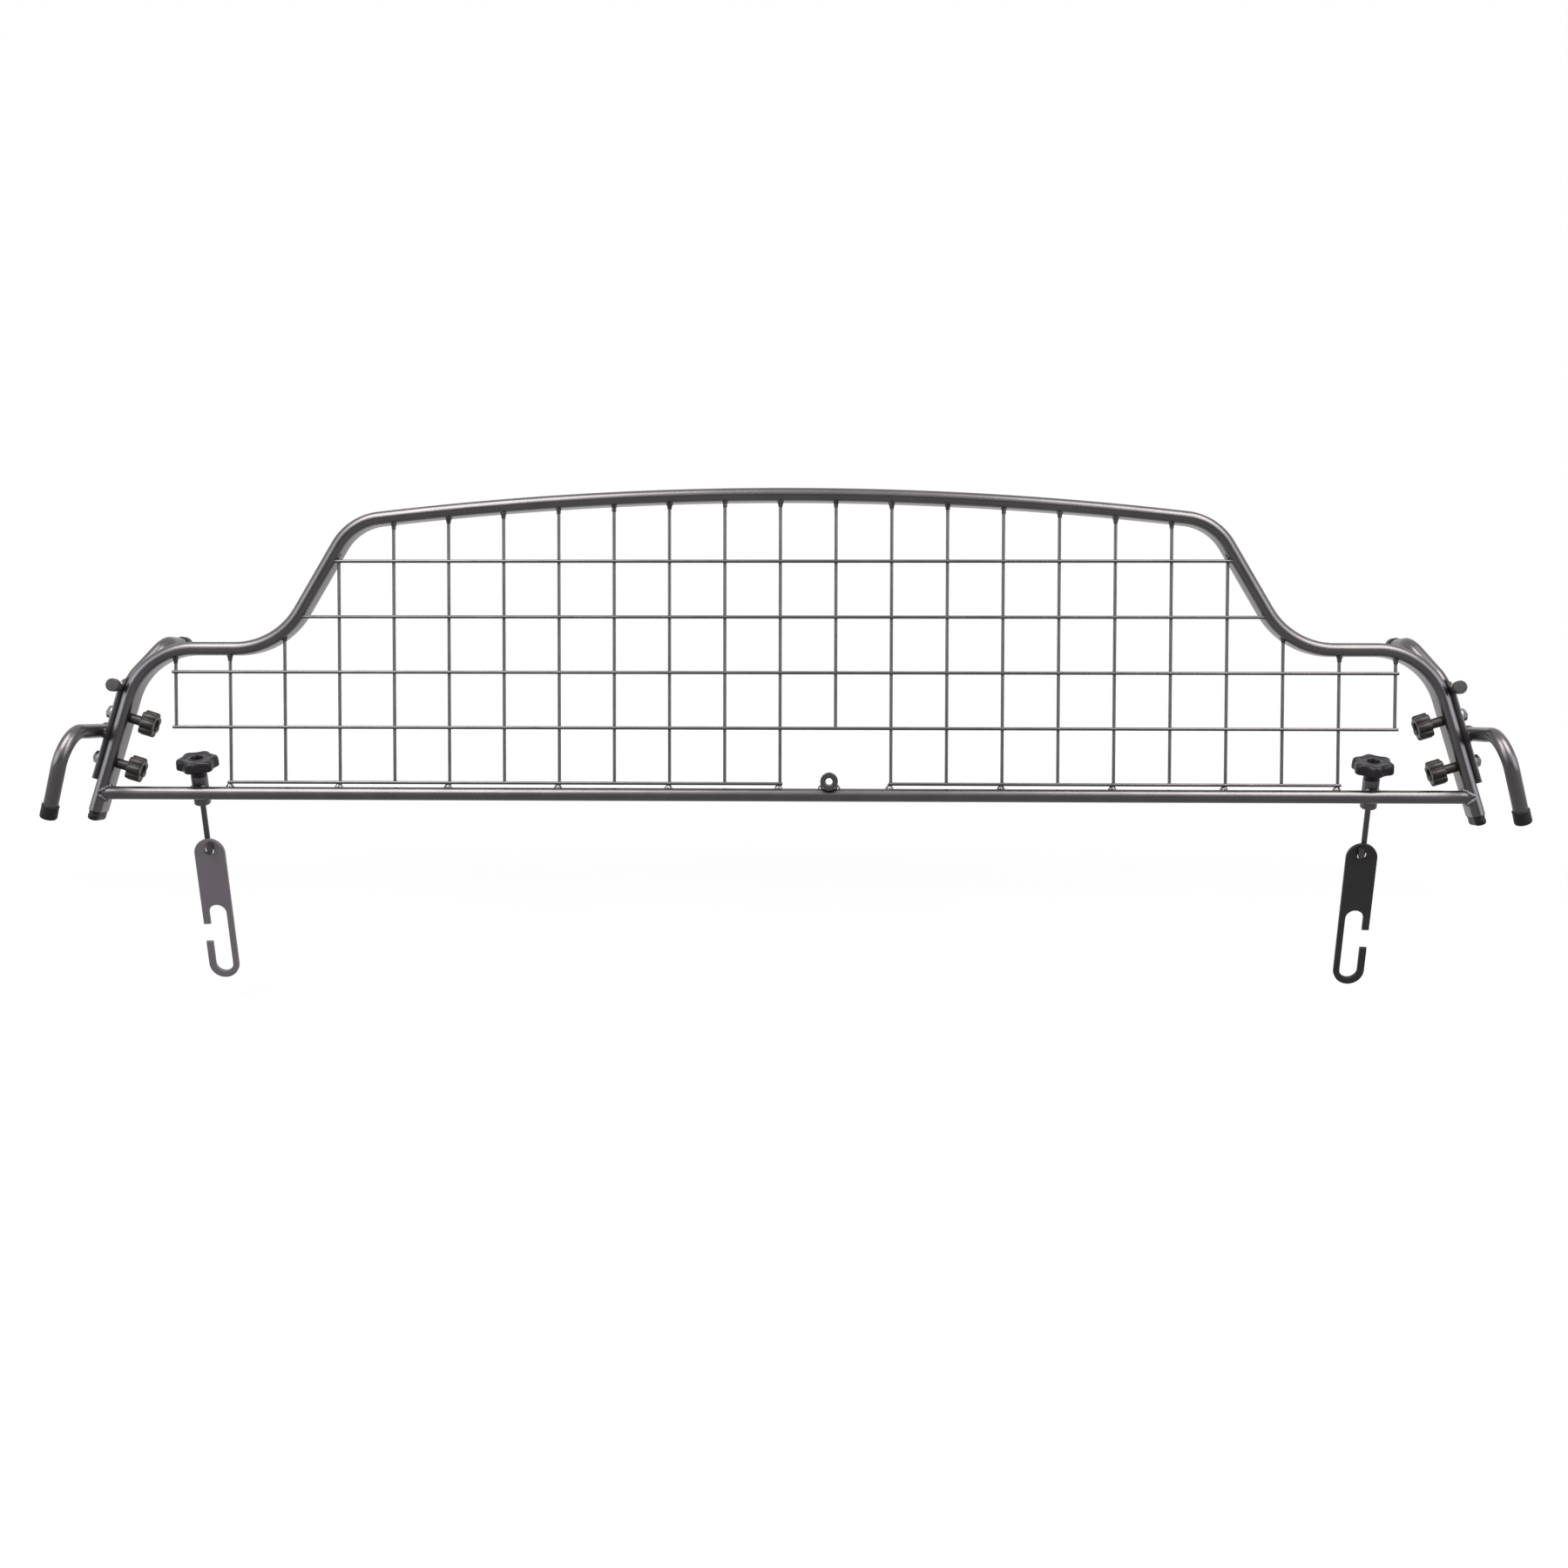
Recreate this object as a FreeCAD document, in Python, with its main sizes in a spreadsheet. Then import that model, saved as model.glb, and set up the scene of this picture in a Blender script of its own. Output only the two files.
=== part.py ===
import FreeCAD, Part
import os
import re
from math import cos, pi, radians, sin, sqrt, tan

import Sketcher

# A car dog guard. The frame's origin is the middle of the crossbar's axis: X to the right, Y away
# from the viewer, Z up. Each leg has a frame of its own (leg frame) at the crossbar's level: X square
# to the leg and outboard, Y away, Z up the leg. Each tension hook has a frame of its own (hook frame)
# behind the crossbar: Z up along the rod. The right half is modelled and the left one mirrored.

SIZES = {
    # flat-sided tube of the hoop
    "tube_width": 12, "tube_depth": 28, "tube_wall": 1.5,
    # centreline of the hoop, in the XZ plane
    "leg_x": 620, "leg_lean": 17, "foot_drop": 17,
    "shoulder_height": 131.5, "shoulder_radius": 62.5, "step_radius": 70,
    "diagonal_x": 421, "diagonal_height": 190, "diagonal_lean": 30.5,
    "corner_radius": 50, "arch_height": 270, "arch_radius": 3150,
    # foot caps, their rim counted outward from the tube's outer face
    "foot_cap_rim": -0.8, "foot_cap_height": 9, "foot_cap_round": 3,
    "foot_plug_depth": 12, "plug_clearance": 0.1,
    # crossbar and divider boss
    "bar_dia": 12, "bar_wall": 1.5,
    "boss_x": 44.4, "boss_dia": 16, "boss_bore_dia": 6, "boss_front": 10, "boss_length": 16,
    "boss_sink": 1.4,
    # wire mesh
    "wire_dia": 3, "mesh_pitch": 50, "lowest_row": 10.2, "row_overhang": 2.4,
    # clearances and the overrun of every cut
    "running_gap": 0.1, "thread_fit": 0.05, "bolt_clearance": 0.3, "washer_clearance": 0.2,
    "overrun": 5,
    # bracket plate and pad, in the leg frame
    "pad_thick": 2.5, "pad_top": 108, "plate_thick": 2.5, "plate_top": 105.5, "plate_bottom": 11,
    "plate_front": 2, "plate_width": 20, "bracket_travel": 5,
    # clamp knobs, bolts, washers and nuts
    "bolt_y": 5, "lower_bolt_up": 30, "upper_bolt_up": 73, "bolt_dia": 6, "bolt_in_knob": 8,
    "bolt_end": 1.4,
    "neck_dia": 9, "neck_length": 11.4, "knob_dia": 23.5, "knob_thick": 12.8, "knob_lobe_radius": 3.8,
    "knob_valley_dia": 19.8, "knob_round": 1, "knob_recess_dia": 11, "knob_recess_depth": 2,
    "washer_dia": 12, "washer_thick": 1.2, "nut_flats": 10, "nut_thick": 3.2,
    # bent arms and their caps, in the leg frame
    "arm_dia": 13, "arm_wall": 1.5,
    "arm_level": 53.5, "arm_foot": 26.5, "arm_front": 75, "arm_front_lean": 12, "arm_front_radius": 27,
    "arm_rear": 32,
    "top_arm_start": 64, "top_arm_bend": 106, "top_arm_level": 144.3, "top_arm_corner": 58,
    "top_arm_reach": 113, "top_arm_out": 1, "top_arm_radius": 25,
    "cap_dia": 15.5, "cap_length": 13, "cap_end": 2.5, "cap_round": 2.5,
    # stop peg, in the leg frame
    "peg_dia": 7, "peg_out": 11.8, "peg_up": 98.4, "peg_start": 2, "peg_length": 17, "peg_lean": 2,
    "peg_cap_dia": 12, "peg_cap_length": 8, "peg_cap_end": 1.5, "peg_cap_round": 1,
    # tension hooks, in the hook frame
    "hook_x": 532, "hook_lean": 20, "sleeve_dia": 15, "sleeve_top": 12.5, "sleeve_length": 28.5,
    "hub_base_dia": 14.6, "hub_top_dia": 17, "hub_height": 7.2, "star_dia": 38, "star_thick": 10,
    "star_lobe_radius": 6.5, "star_valley_dia": 32.8, "star_round": 2, "star_recess_dia": 11,
    "star_recess_depth": 6, "left_wheel_turn": 20, "right_wheel_turn": 30,
    "thread_dia": 6, "thread_length": 39, "rod_top": 25, "rod_dia": 5.2, "rod_bend_turn": 25,
    "rod_tail": 10, "hinge_rise": 1, "hinge_clearance": 0.6,
    "hook_drop": 62.1, "hook_length": 143, "hook_above_hole": 11.5, "hook_solid": 67, "hook_thick": 3.5,
    "slot_width": 16.6, "inner_strip": 5.4, "outer_strip": 6.2, "end_strip": 6.5,
    "mouth_below_slot_top": 20, "mouth_height": 18.5, "hook_clearance": 0.3,
}

# counts of what repeats
ROWS = 5
ROWS_TO_HOOP = 2
STAR_LOBES = 6
KNOB_LOBES = 7

ORIGIN = FreeCAD.Vector()
ALONG_X = FreeCAD.Vector(1, 0, 0)
ALONG_Y = FreeCAD.Vector(0, 1, 0)
ALONG_Z = FreeCAD.Vector(0, 0, 1)

doc = FreeCAD.newDocument("dog_guard")
sheet = doc.addObject("Spreadsheet::Sheet", "sizes")
for row, (alias, number) in enumerate(SIZES.items(), start=1):
    sheet.set(f"A{row}", alias)
    sheet.set(f"B{row}", str(number))
    sheet.setAlias(f"B{row}", alias)
doc.recompute()

nodes = []


# Values and formulas

def size(alias):
    return float(getattr(sheet, alias))


def formula(text):
    """An expression from a formula written in the sheet's names."""
    return re.sub(r"[a-z]\w+", lambda word: "sizes." + word[0] if word[0] in SIZES else word[0], text)


def value(text):
    return float(sheet.evalExpression(formula(text)))


def bind(thing, **formulas):
    for name, text in formulas.items():
        thing.setExpression(name, formula(text))
    return thing


def node(thing, label):
    """Marks an object as a sub-part of the guard, under the name of its file."""
    thing.Label = label
    nodes.append(thing)
    return thing


# Frames

def turned(axis, degrees):
    return FreeCAD.Rotation(axis, degrees)


def aimed(direction):
    """The rotation that takes Z to a direction."""
    return FreeCAD.Rotation(ALONG_Z, direction)


def placed(base, rotation=FreeCAD.Rotation()):
    return FreeCAD.Placement(base, rotation)


def leg_frame():
    return placed(ALONG_X * size("leg_x"), turned(ALONG_Y, -size("leg_lean")))


def hook_frame(side):
    lean = radians(size("hook_lean"))
    behind = (size("bar_dia") + size("sleeve_dia")) / 2
    base = FreeCAD.Vector(side * size("hook_x"), behind * cos(lean), behind * sin(lean))
    return placed(base, turned(ALONG_X, size("hook_lean")))


# Sketches in bodies, and their outlines

def new_body(name):
    return doc.addObject("PartDesign::Body", name)


def sketch_on(body, role, name):
    sketch = body.newObject("Sketcher::SketchObject", name)
    plane = next(item for item in body.Origin.OriginFeatures if item.Role == role)
    sketch.AttachmentSupport = [(plane, "")]
    sketch.MapMode = "FlatFace"
    return sketch


def dimension(sketch, text, *constraint):
    index = sketch.addConstraint(Sketcher.Constraint(*constraint, value(text)))
    sketch.setExpression(f"Constraints[{index}]", formula(text))


def fix_point(sketch, item, point, x, y):
    dimension(sketch, x, "DistanceX", -1, 1, item, point)
    dimension(sketch, y, "DistanceY", -1, 1, item, point)


def polygon(sketch, corners):
    """A closed outline of straight lines; each corner is a pair of formulas."""
    points = [FreeCAD.Vector(value(x), value(y), 0) for x, y in corners]
    ends = points[1:] + points[:1]
    lines = [sketch.addGeometry(Part.LineSegment(start, end)) for start, end in zip(points, ends)]
    for line, after in zip(lines, lines[1:] + lines[:1]):
        sketch.addConstraint(Sketcher.Constraint("Coincident", line, 2, after, 1))
    for line, (x, y) in zip(lines, corners):
        fix_point(sketch, line, 1, x, y)


def circle(sketch, x, y, radius):
    centre = FreeCAD.Vector(value(x), value(y), 0)
    ring = sketch.addGeometry(Part.Circle(centre, ALONG_Z, value(radius)))
    fix_point(sketch, ring, 3, x, y)
    dimension(sketch, radius, "Radius", ring)


def obround(sketch, x, low, high, radius):
    """A slot outline between two centres on an upright line."""
    across, top, bottom, half = value(x), value(high), value(low), value(radius)
    cap = Part.Circle(FreeCAD.Vector(across, top, 0), ALONG_Z, half)
    foot = Part.Circle(FreeCAD.Vector(across, bottom, 0), ALONG_Z, half)
    upper = sketch.addGeometry(Part.ArcOfCircle(cap, 0, pi))
    lower = sketch.addGeometry(Part.ArcOfCircle(foot, pi, 2 * pi))
    left_ends = FreeCAD.Vector(across - half, top, 0), FreeCAD.Vector(across - half, bottom, 0)
    right_ends = FreeCAD.Vector(across + half, bottom, 0), FreeCAD.Vector(across + half, top, 0)
    left = sketch.addGeometry(Part.LineSegment(*left_ends))
    right = sketch.addGeometry(Part.LineSegment(*right_ends))
    joins = ((upper, 2, left, 1), (left, 2, lower, 1), (lower, 2, right, 1), (right, 2, upper, 1))
    for join in joins:
        sketch.addConstraint(Sketcher.Constraint("Tangent", *join))
    sketch.addConstraint(Sketcher.Constraint("Equal", upper, lower))
    fix_point(sketch, upper, 3, x, high)
    fix_point(sketch, lower, 3, x, low)
    dimension(sketch, radius, "Radius", upper)


def tongue(sketch, x, bottom, top, radius):
    """An upright outline, square at the bottom and with a full round at the top."""
    across, base, half = value(x), value(bottom), value(radius)
    centre = FreeCAD.Vector(across, value(top) - half, 0)
    arc = sketch.addGeometry(Part.ArcOfCircle(Part.Circle(centre, ALONG_Z, half), 0, pi))
    left_foot = FreeCAD.Vector(across - half, base, 0)
    right_foot = FreeCAD.Vector(across + half, base, 0)
    left = sketch.addGeometry(Part.LineSegment(FreeCAD.Vector(across - half, centre.y, 0), left_foot))
    foot = sketch.addGeometry(Part.LineSegment(left_foot, right_foot))
    right = sketch.addGeometry(Part.LineSegment(right_foot, FreeCAD.Vector(across + half, centre.y, 0)))
    sketch.addConstraint(Sketcher.Constraint("Tangent", arc, 2, left, 1))
    sketch.addConstraint(Sketcher.Constraint("Tangent", right, 2, arc, 1))
    sketch.addConstraint(Sketcher.Constraint("Coincident", left, 2, foot, 1))
    sketch.addConstraint(Sketcher.Constraint("Coincident", foot, 2, right, 1))
    sketch.addConstraint(Sketcher.Constraint("Vertical", left))
    sketch.addConstraint(Sketcher.Constraint("Vertical", right))
    fix_point(sketch, arc, 3, x, f"{top} - {radius}")
    dimension(sketch, radius, "Radius", arc)
    dimension(sketch, bottom, "DistanceY", -1, 1, foot, 1)
    dimension(sketch, bottom, "DistanceY", -1, 1, foot, 2)


def star(sketch, tip, valley, lobe, count):
    """A star of round lobes joined by hollows that run on from them without a corner."""
    lobe_reach = tip - lobe
    share = cos(pi / count)
    hollow = lobe ** 2 - lobe_reach ** 2 - valley ** 2 + 2 * lobe_reach * valley * share
    hollow = hollow / (2 * (valley - lobe_reach * share - lobe))
    hollow_reach = valley + hollow
    for index in range(count):
        angle = 2 * pi * index / count
        tip_at = polar(lobe_reach, angle)
        before_at = polar(hollow_reach, angle - pi / count)
        after_at = polar(hollow_reach, angle + pi / count)
        into = tip_at + (before_at - tip_at) * (lobe / (lobe + hollow))
        out = tip_at + (after_at - tip_at) * (lobe / (lobe + hollow))
        next_tip_at = polar(lobe_reach, angle + 2 * pi / count)
        next_into = next_tip_at + (after_at - next_tip_at) * (lobe / (lobe + hollow))
        sketch.addGeometry(Part.Arc(into, polar(tip, angle), out))
        sketch.addGeometry(Part.Arc(out, polar(valley, angle + pi / count), next_into))


def polar(radius, angle):
    return FreeCAD.Vector(radius * cos(angle), radius * sin(angle), 0)


# Features of bodies

def pad(body, sketch, length, backwards=False):
    feature = bind(body.newObject("PartDesign::Pad", sketch.Name + "_pad"), Length=length)
    feature.Profile = sketch
    feature.Reversed = backwards
    return feature


def pocket(body, sketch, length, backwards=False):
    feature = bind(body.newObject("PartDesign::Pocket", sketch.Name + "_pocket"), Length=length)
    feature.Profile = sketch
    feature.Reversed = backwards
    return feature


def revolve(body, kind, sketch):
    feature = body.newObject("PartDesign::" + kind, sketch.Name + "_turned")
    feature.Profile = sketch
    feature.ReferenceAxis = (sketch, ["V_Axis"])
    feature.Angle = 360
    return feature


def end_face(shape, direction):
    """The name of the flat face that lies farthest out in a direction."""
    def reach(index):
        face = shape.Faces[index]
        flat = isinstance(face.Surface, Part.Plane) and abs(face.normalAt(0, 0).dot(direction)) > 0.9
        return (flat, face.CenterOfMass.dot(direction))
    return f"Face{max(range(len(shape.Faces)), key=reach) + 1}"


def round_over(body, base, direction, radius):
    """Rounds the edges of the end face that lies in a direction."""
    doc.recompute()
    feature = bind(body.newObject("PartDesign::Fillet", base.Name + "_round"), Radius=radius)
    feature.Base = (base, [end_face(base.Shape, direction)])
    return feature


# Primitives, booleans and swept tubes

def primitive(kind, name, placement=FreeCAD.Placement(), **formulas):
    thing = bind(doc.addObject("Part::" + kind, name), **formulas)
    thing.Placement = placement
    return thing


def cut(name, base, tool):
    thing = doc.addObject("Part::Cut", name)
    thing.Base = base
    thing.Tool = tool
    return thing


def group(name, items):
    thing = doc.addObject("Part::Compound", name)
    thing.Links = items
    return thing


def rounded_run(points, radii):
    """Straight runs joined by tangent arcs, one radius for each inner point."""
    edges = []
    start = points[0]
    for before, corner, after, radius in zip(points, points[1:], points[2:], radii):
        into = (corner - before).normalize()
        out = (after - corner).normalize()
        half_turn = into.getAngle(out) / 2
        reach = radius * tan(half_turn)
        middle = corner + (out - into).normalize() * (radius / cos(half_turn) - radius)
        arc_start = corner - into * reach
        arc_end = corner + out * reach
        if (arc_start - start).Length > radius * 1e-6:
            edges.append(Part.LineSegment(start, arc_start).toShape())
        edges.append(Part.Arc(arc_start, middle, arc_end).toShape())
        start = arc_end
    edges.append(Part.LineSegment(start, points[-1]).toShape())
    return edges


def path_of(name, edges):
    path = doc.addObject("Part::Feature", name)
    path.Shape = Part.Wire(edges)
    return path


def sweep(name, path, section):
    thing = doc.addObject("Part::Sweep", name)
    thing.Sections = [section]
    thing.Spine = (path, [f"Edge{index + 1}" for index in range(len(path.Shape.Edges))])
    thing.Solid = True
    thing.Frenet = False
    return thing


def round_section(name, points, radius):
    return primitive("Circle", name, placed(points[0], aimed(points[1] - points[0])), Radius=radius)


def round_tube(name, points, radii, dia, wall):
    path = path_of(name + "_path", rounded_run(points, radii))
    outer = sweep(name + "_outer", path, round_section(name + "_outer_ring", points, f"{dia} / 2"))
    inner = sweep(name + "_inner", path, round_section(name + "_inner_ring", points, f"{dia} / 2 - {wall}"))
    return cut(name, outer, inner)


# Hoop

def arch_touch_points():
    """Where the corner's arc leaves the diagonal and meets the arch, on the right."""
    lean = radians(size("diagonal_lean"))
    on_diagonal = FreeCAD.Vector(size("diagonal_x"), 0, size("diagonal_height"))
    upward = FreeCAD.Vector(-sin(lean), 0, cos(lean))
    inward = FreeCAD.Vector(-cos(lean), 0, -sin(lean))
    arch_centre = ALONG_Z * (size("arch_height") - size("arch_radius"))
    from_centre = on_diagonal + inward * size("corner_radius") - arch_centre
    reach = size("arch_radius") - size("corner_radius")
    along = from_centre.dot(upward)
    travel = -along + sqrt(along ** 2 - from_centre.Length ** 2 + reach ** 2)
    corner_centre = arch_centre + from_centre + upward * travel
    on_arch = arch_centre + (corner_centre - arch_centre) * (size("arch_radius") / reach)
    diagonal_end = corner_centre - inward * size("corner_radius")
    outward = ((on_arch - corner_centre) + (diagonal_end - corner_centre)).normalize()
    return diagonal_end, corner_centre + outward * size("corner_radius"), on_arch


def hoop_edges():
    lean = radians(size("leg_lean"))
    shoulder = size("shoulder_height")
    diagonal_run = (shoulder - size("diagonal_height")) * tan(radians(size("diagonal_lean")))
    foot = FreeCAD.Vector(size("leg_x") + size("foot_drop") * sin(lean), 0, -size("foot_drop") * cos(lean))
    outer_corner = FreeCAD.Vector(size("leg_x") - shoulder * tan(lean), 0, shoulder)
    inner_corner = FreeCAD.Vector(size("diagonal_x") - diagonal_run, 0, shoulder)
    diagonal_end, corner_middle, on_arch = arch_touch_points()
    radii = [size("shoulder_radius"), size("step_radius")]
    right = rounded_run([foot, outer_corner, inner_corner, diagonal_end], radii)
    right.append(Part.Arc(diagonal_end, corner_middle, on_arch).toShape())
    across = FreeCAD.Vector(-on_arch.x, 0, on_arch.z)
    top = Part.Arc(on_arch, ALONG_Z * size("arch_height"), across).toShape()
    left = [edge.mirror(ORIGIN, ALONG_X) for edge in reversed(right)]
    return right + [top] + left


def hoop_section(name, radius):
    """The tube's outline at the right foot, its front round centred on the crossbar's plane."""
    section = doc.addObject("Sketcher::SketchObject", name)
    obround(section, "0", "0", "tube_depth - tube_width", radius)
    section.Placement = leg_frame() * placed(ALONG_Z * -size("foot_drop"))
    return section


def bolt_hole(name, up):
    """A cutter square through the right leg at a clamp bolt."""
    length = size("tube_width") + 2 * size("overrun")
    local = placed(FreeCAD.Vector(-length / 2, size("bolt_y"), size(up)), aimed(ALONG_X))
    return primitive("Cylinder", name, leg_frame() * local, Radius="bolt_dia / 2 + bolt_clearance",
                     Height="tube_width + 2 * overrun")


def mirrored(name, source):
    thing = doc.addObject("Part::Mirroring", name)
    thing.Source = source
    thing.Base = ORIGIN
    thing.Normal = ALONG_X
    return thing


hoop_path = path_of("hoop_path", hoop_edges())
hoop_outer = sweep("hoop_outer", hoop_path, hoop_section("hoop_outer_section", "tube_width / 2"))
hoop_inner = sweep("hoop_inner", hoop_path, hoop_section("hoop_inner_section", "tube_width / 2 - tube_wall"))
hoop_holes = [bolt_hole(name + "_hole", name + "_up") for name in ("lower_bolt", "upper_bolt")]
hoop_holes += [mirrored("left_" + hole.Name, hole) for hole in hoop_holes]
hoop_wall = cut("hoop_wall", hoop_outer, hoop_inner)
node(cut("hoop_drilled", hoop_wall, group("hoop_hole_cutters", hoop_holes)), "hoop_tube")


# Crossbar and divider boss

def along_bar(name, radius):
    return primitive("Cylinder", name, placed(ALONG_X * -size("leg_x"), aimed(ALONG_X)), Radius=radius,
                     Height="2 * leg_x")


bar_outer = along_bar("bar_outer", "bar_dia / 2")
bar_wall = cut("bar_wall", bar_outer, along_bar("bar_inner", "bar_dia / 2 - bar_wall"))
node(cut("bar_coped", bar_wall, hoop_outer), "crossbar")

boss_height = (size("bar_dia") + size("boss_dia")) / 2 - size("boss_sink")
boss_front = placed(FreeCAD.Vector(size("boss_x"), -size("boss_front"), boss_height), aimed(ALONG_Y))
boss_solid = primitive("Cylinder", "boss_solid", boss_front, Radius="boss_dia / 2", Height="boss_length")
boss_bore = primitive("Cylinder", "boss_bore", boss_front, Radius="boss_bore_dia / 2", Height="boss_length")
node(cut("boss_saddled", cut("boss_bored", boss_solid, boss_bore), bar_outer), "divider_boss")


# Wire mesh

def hoop_height(x):
    """The height of the hoop's centreline above the bar at a distance from the middle."""
    upright = Part.makeLine(FreeCAD.Vector(x, 0, 0), FreeCAD.Vector(x, 0, size("arch_height") * 2))
    return hoop_path.Shape.distToShape(upright)[1][0][0].z


def hoop_reach(z):
    """The distance of the hoop's centreline from the middle at a height."""
    level = Part.makeLine(FreeCAD.Vector(0, 0, z), FreeCAD.Vector(size("leg_x") * 2, 0, z))
    return hoop_path.Shape.distToShape(level)[1][0][0].x


def wires_each_side():
    """How many uprights fit between the middle and the hoop's shoulder."""
    shoulder_x = size("leg_x") - size("shoulder_height") * tan(radians(size("leg_lean")))
    return int(shoulder_x / size("mesh_pitch"))


def wire_start(index):
    """Even wires stand on the bar, odd ones on the lowest row, the outermost and the boss's on the next."""
    if index == 1 or abs(index) == wires_each_side():
        return size("lowest_row") + size("mesh_pitch") - size("wire_dia") / 2
    return size("lowest_row") - size("wire_dia") / 2 if index % 2 else 0


def upright_wire(index):
    """A wire behind the rows, from its start up to the hoop."""
    x = index * size("mesh_pitch")
    start = wire_start(index)
    wire = primitive("Cylinder", "upright_wire", placed(FreeCAD.Vector(x, size("wire_dia") / 2, start)),
                     Radius="wire_dia / 2")
    wire.Height = hoop_height(x) - start
    return wire


def row_wire(left, right, z):
    """A wire in front of the uprights."""
    start = FreeCAD.Vector(left, -size("wire_dia") / 2, z)
    wire = primitive("Cylinder", "row_wire", placed(start, aimed(ALONG_X)), Radius="wire_dia / 2")
    wire.Height = right - left
    return wire


def row_wires():
    over = size("row_overhang")
    wires = []
    for row in range(ROWS):
        z = size("lowest_row") + size("mesh_pitch") * row
        if row == 0:
            end = size("mesh_pitch") * (wires_each_side() - 1) + over
            wires.append(row_wire(-end, over, z))
            wires.append(row_wire(2 * size("mesh_pitch") - over, end, z))
        elif row < ROWS - ROWS_TO_HOOP:
            end = size("mesh_pitch") * wires_each_side() + over
            wires.append(row_wire(-end, end, z))
        else:
            wires.append(row_wire(-hoop_reach(z), hoop_reach(z), z))
    return wires


wire_indexes = range(-wires_each_side(), wires_each_side() + 1)
uprights = group("uprights", [upright_wire(index) for index in wire_indexes])
uprights_to_hoop = cut("uprights_to_hoop", uprights, hoop_outer)
node(cut("uprights_to_bar", uprights_to_hoop, bar_outer), "mesh_vertical_wires")
node(cut("rows_to_hoop", group("rows", row_wires()), hoop_outer), "mesh_horizontal_wires")


# Foot caps

def foot_cap():
    body = new_body("foot_cap_body")
    foot = sketch_on(body, "XY_Plane", "foot_outline")
    obround(foot, "0", "0", "tube_depth - tube_width", "tube_width / 2 + foot_cap_rim")
    foot_pad = pad(body, foot, "foot_cap_height", backwards=True)
    round_over(body, foot_pad, -ALONG_Z, "foot_cap_round")
    plug = sketch_on(body, "XY_Plane", "plug_outline")
    obround(plug, "0", "0", "tube_depth - tube_width", "tube_width / 2 - tube_wall - plug_clearance")
    pad(body, plug, "foot_plug_depth")
    body.Placement = leg_frame() * placed(ALONG_Z * -size("foot_drop"))
    return body


# Bracket plate and pad

def slotted_strip(name, inner_face, top, thickness):
    """A strip along the leg's outer side, with a slot for each clamp bolt."""
    body = new_body(name + "_body")
    centre = "plate_width / 2 - plate_front"
    outline = sketch_on(body, "YZ_Plane", name + "_outline")
    tongue(outline, centre, "plate_bottom", top, "plate_width / 2")
    pad(body, outline, thickness)
    slots = sketch_on(body, "YZ_Plane", name + "_slots")
    for bolt in ("lower_bolt_up", "upper_bolt_up"):
        obround(slots, "bolt_y", f"{bolt} - bracket_travel", f"{bolt} + bracket_travel",
                "bolt_dia / 2 + bolt_clearance")
    pocket(body, slots, thickness, backwards=True)
    body.Placement = leg_frame() * placed(ALONG_X * inner_face)
    return body


pad_face = size("tube_width") / 2 + size("running_gap")
plate_face = pad_face + size("pad_thick")
arm_face = plate_face + size("plate_thick")


# Bent arms and their caps

def end_cap(name, dia, length, end, rounding, bore_dia):
    """A cup that closes a tube's end; its own Z points out of the tube, and its origin is the tube's end."""
    body = new_body(name + "_body")
    profile = sketch_on(body, "XZ_Plane", name + "_profile")
    corners = (("0", "0"), (f"{bore_dia} / 2", "0"), (f"{bore_dia} / 2", f"{end} - {length}"),
               (f"{dia} / 2", f"{end} - {length}"), (f"{dia} / 2", end), ("0", end))
    polygon(profile, corners)
    round_over(body, revolve(body, "Revolution", profile), ALONG_Z, rounding)
    return body


def arm_cap(name, run):
    """A cap on the last point of a run of an arm, in the leg frame."""
    body = end_cap(name, "cap_dia", "cap_length", "cap_end", "cap_round", "arm_dia")
    body.Placement = leg_frame() * placed(run[-1], aimed(run[-1] - run[-2]))
    return body


def lower_arm_points():
    """Along the plate's outer face: up from the front foot, over a bend, and straight back past the plate."""
    out = arm_face + size("arm_dia") / 2
    level = size("arm_level")
    drop = level + size("arm_foot") - size("cap_end")
    front = FreeCAD.Vector(out, -size("arm_front"), level)
    rear = FreeCAD.Vector(out, size("arm_rear") - size("cap_end"), level)
    front_foot = front + FreeCAD.Vector(0, drop * tan(radians(size("arm_front_lean"))), -drop)
    return [front_foot, front, rear]


def upper_arm_points():
    """Up the plate's rear edge, back and up over a bend, then straight back."""
    behind = size("plate_width") - size("plate_front") + size("arm_dia") / 2
    out = plate_face + size("plate_thick") / 2
    start = FreeCAD.Vector(out, behind, size("top_arm_start"))
    bend = FreeCAD.Vector(out, behind, size("top_arm_bend"))
    corner = FreeCAD.Vector(size("top_arm_out"), size("top_arm_corner"), size("top_arm_level"))
    end = FreeCAD.Vector(corner.x, size("top_arm_reach") - size("cap_end"), corner.z)
    return [start, bend, corner, end]


def arm(name, points, radii):
    tube = round_tube(name, points, radii, "arm_dia", "arm_wall")
    tube.Placement = leg_frame()
    return tube


# Stop peg

def stop_peg(plate, rubber):
    """A round peg welded to the plate's front edge; it points forward."""
    lean = radians(size("peg_lean"))
    forward = FreeCAD.Vector(0, -cos(lean), sin(lean))
    root = FreeCAD.Vector(size("peg_out"), size("peg_start"), size("peg_up"))
    rod = primitive("Cylinder", "peg_rod", leg_frame() * placed(root, aimed(forward)), Radius="peg_dia / 2",
                    Height="peg_length")
    cap = end_cap("stop_peg_cap", "peg_cap_dia", "peg_cap_length", "peg_cap_end", "peg_cap_round", "peg_dia")
    cap.Placement = leg_frame() * placed(root + forward * size("peg_length"), aimed(forward))
    return cut("peg_at_plate", cut("peg_at_pad", rod, rubber), plate), cap


# Clamps: knob, bolt, washer and nut, each with its own Z along the bolt

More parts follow.
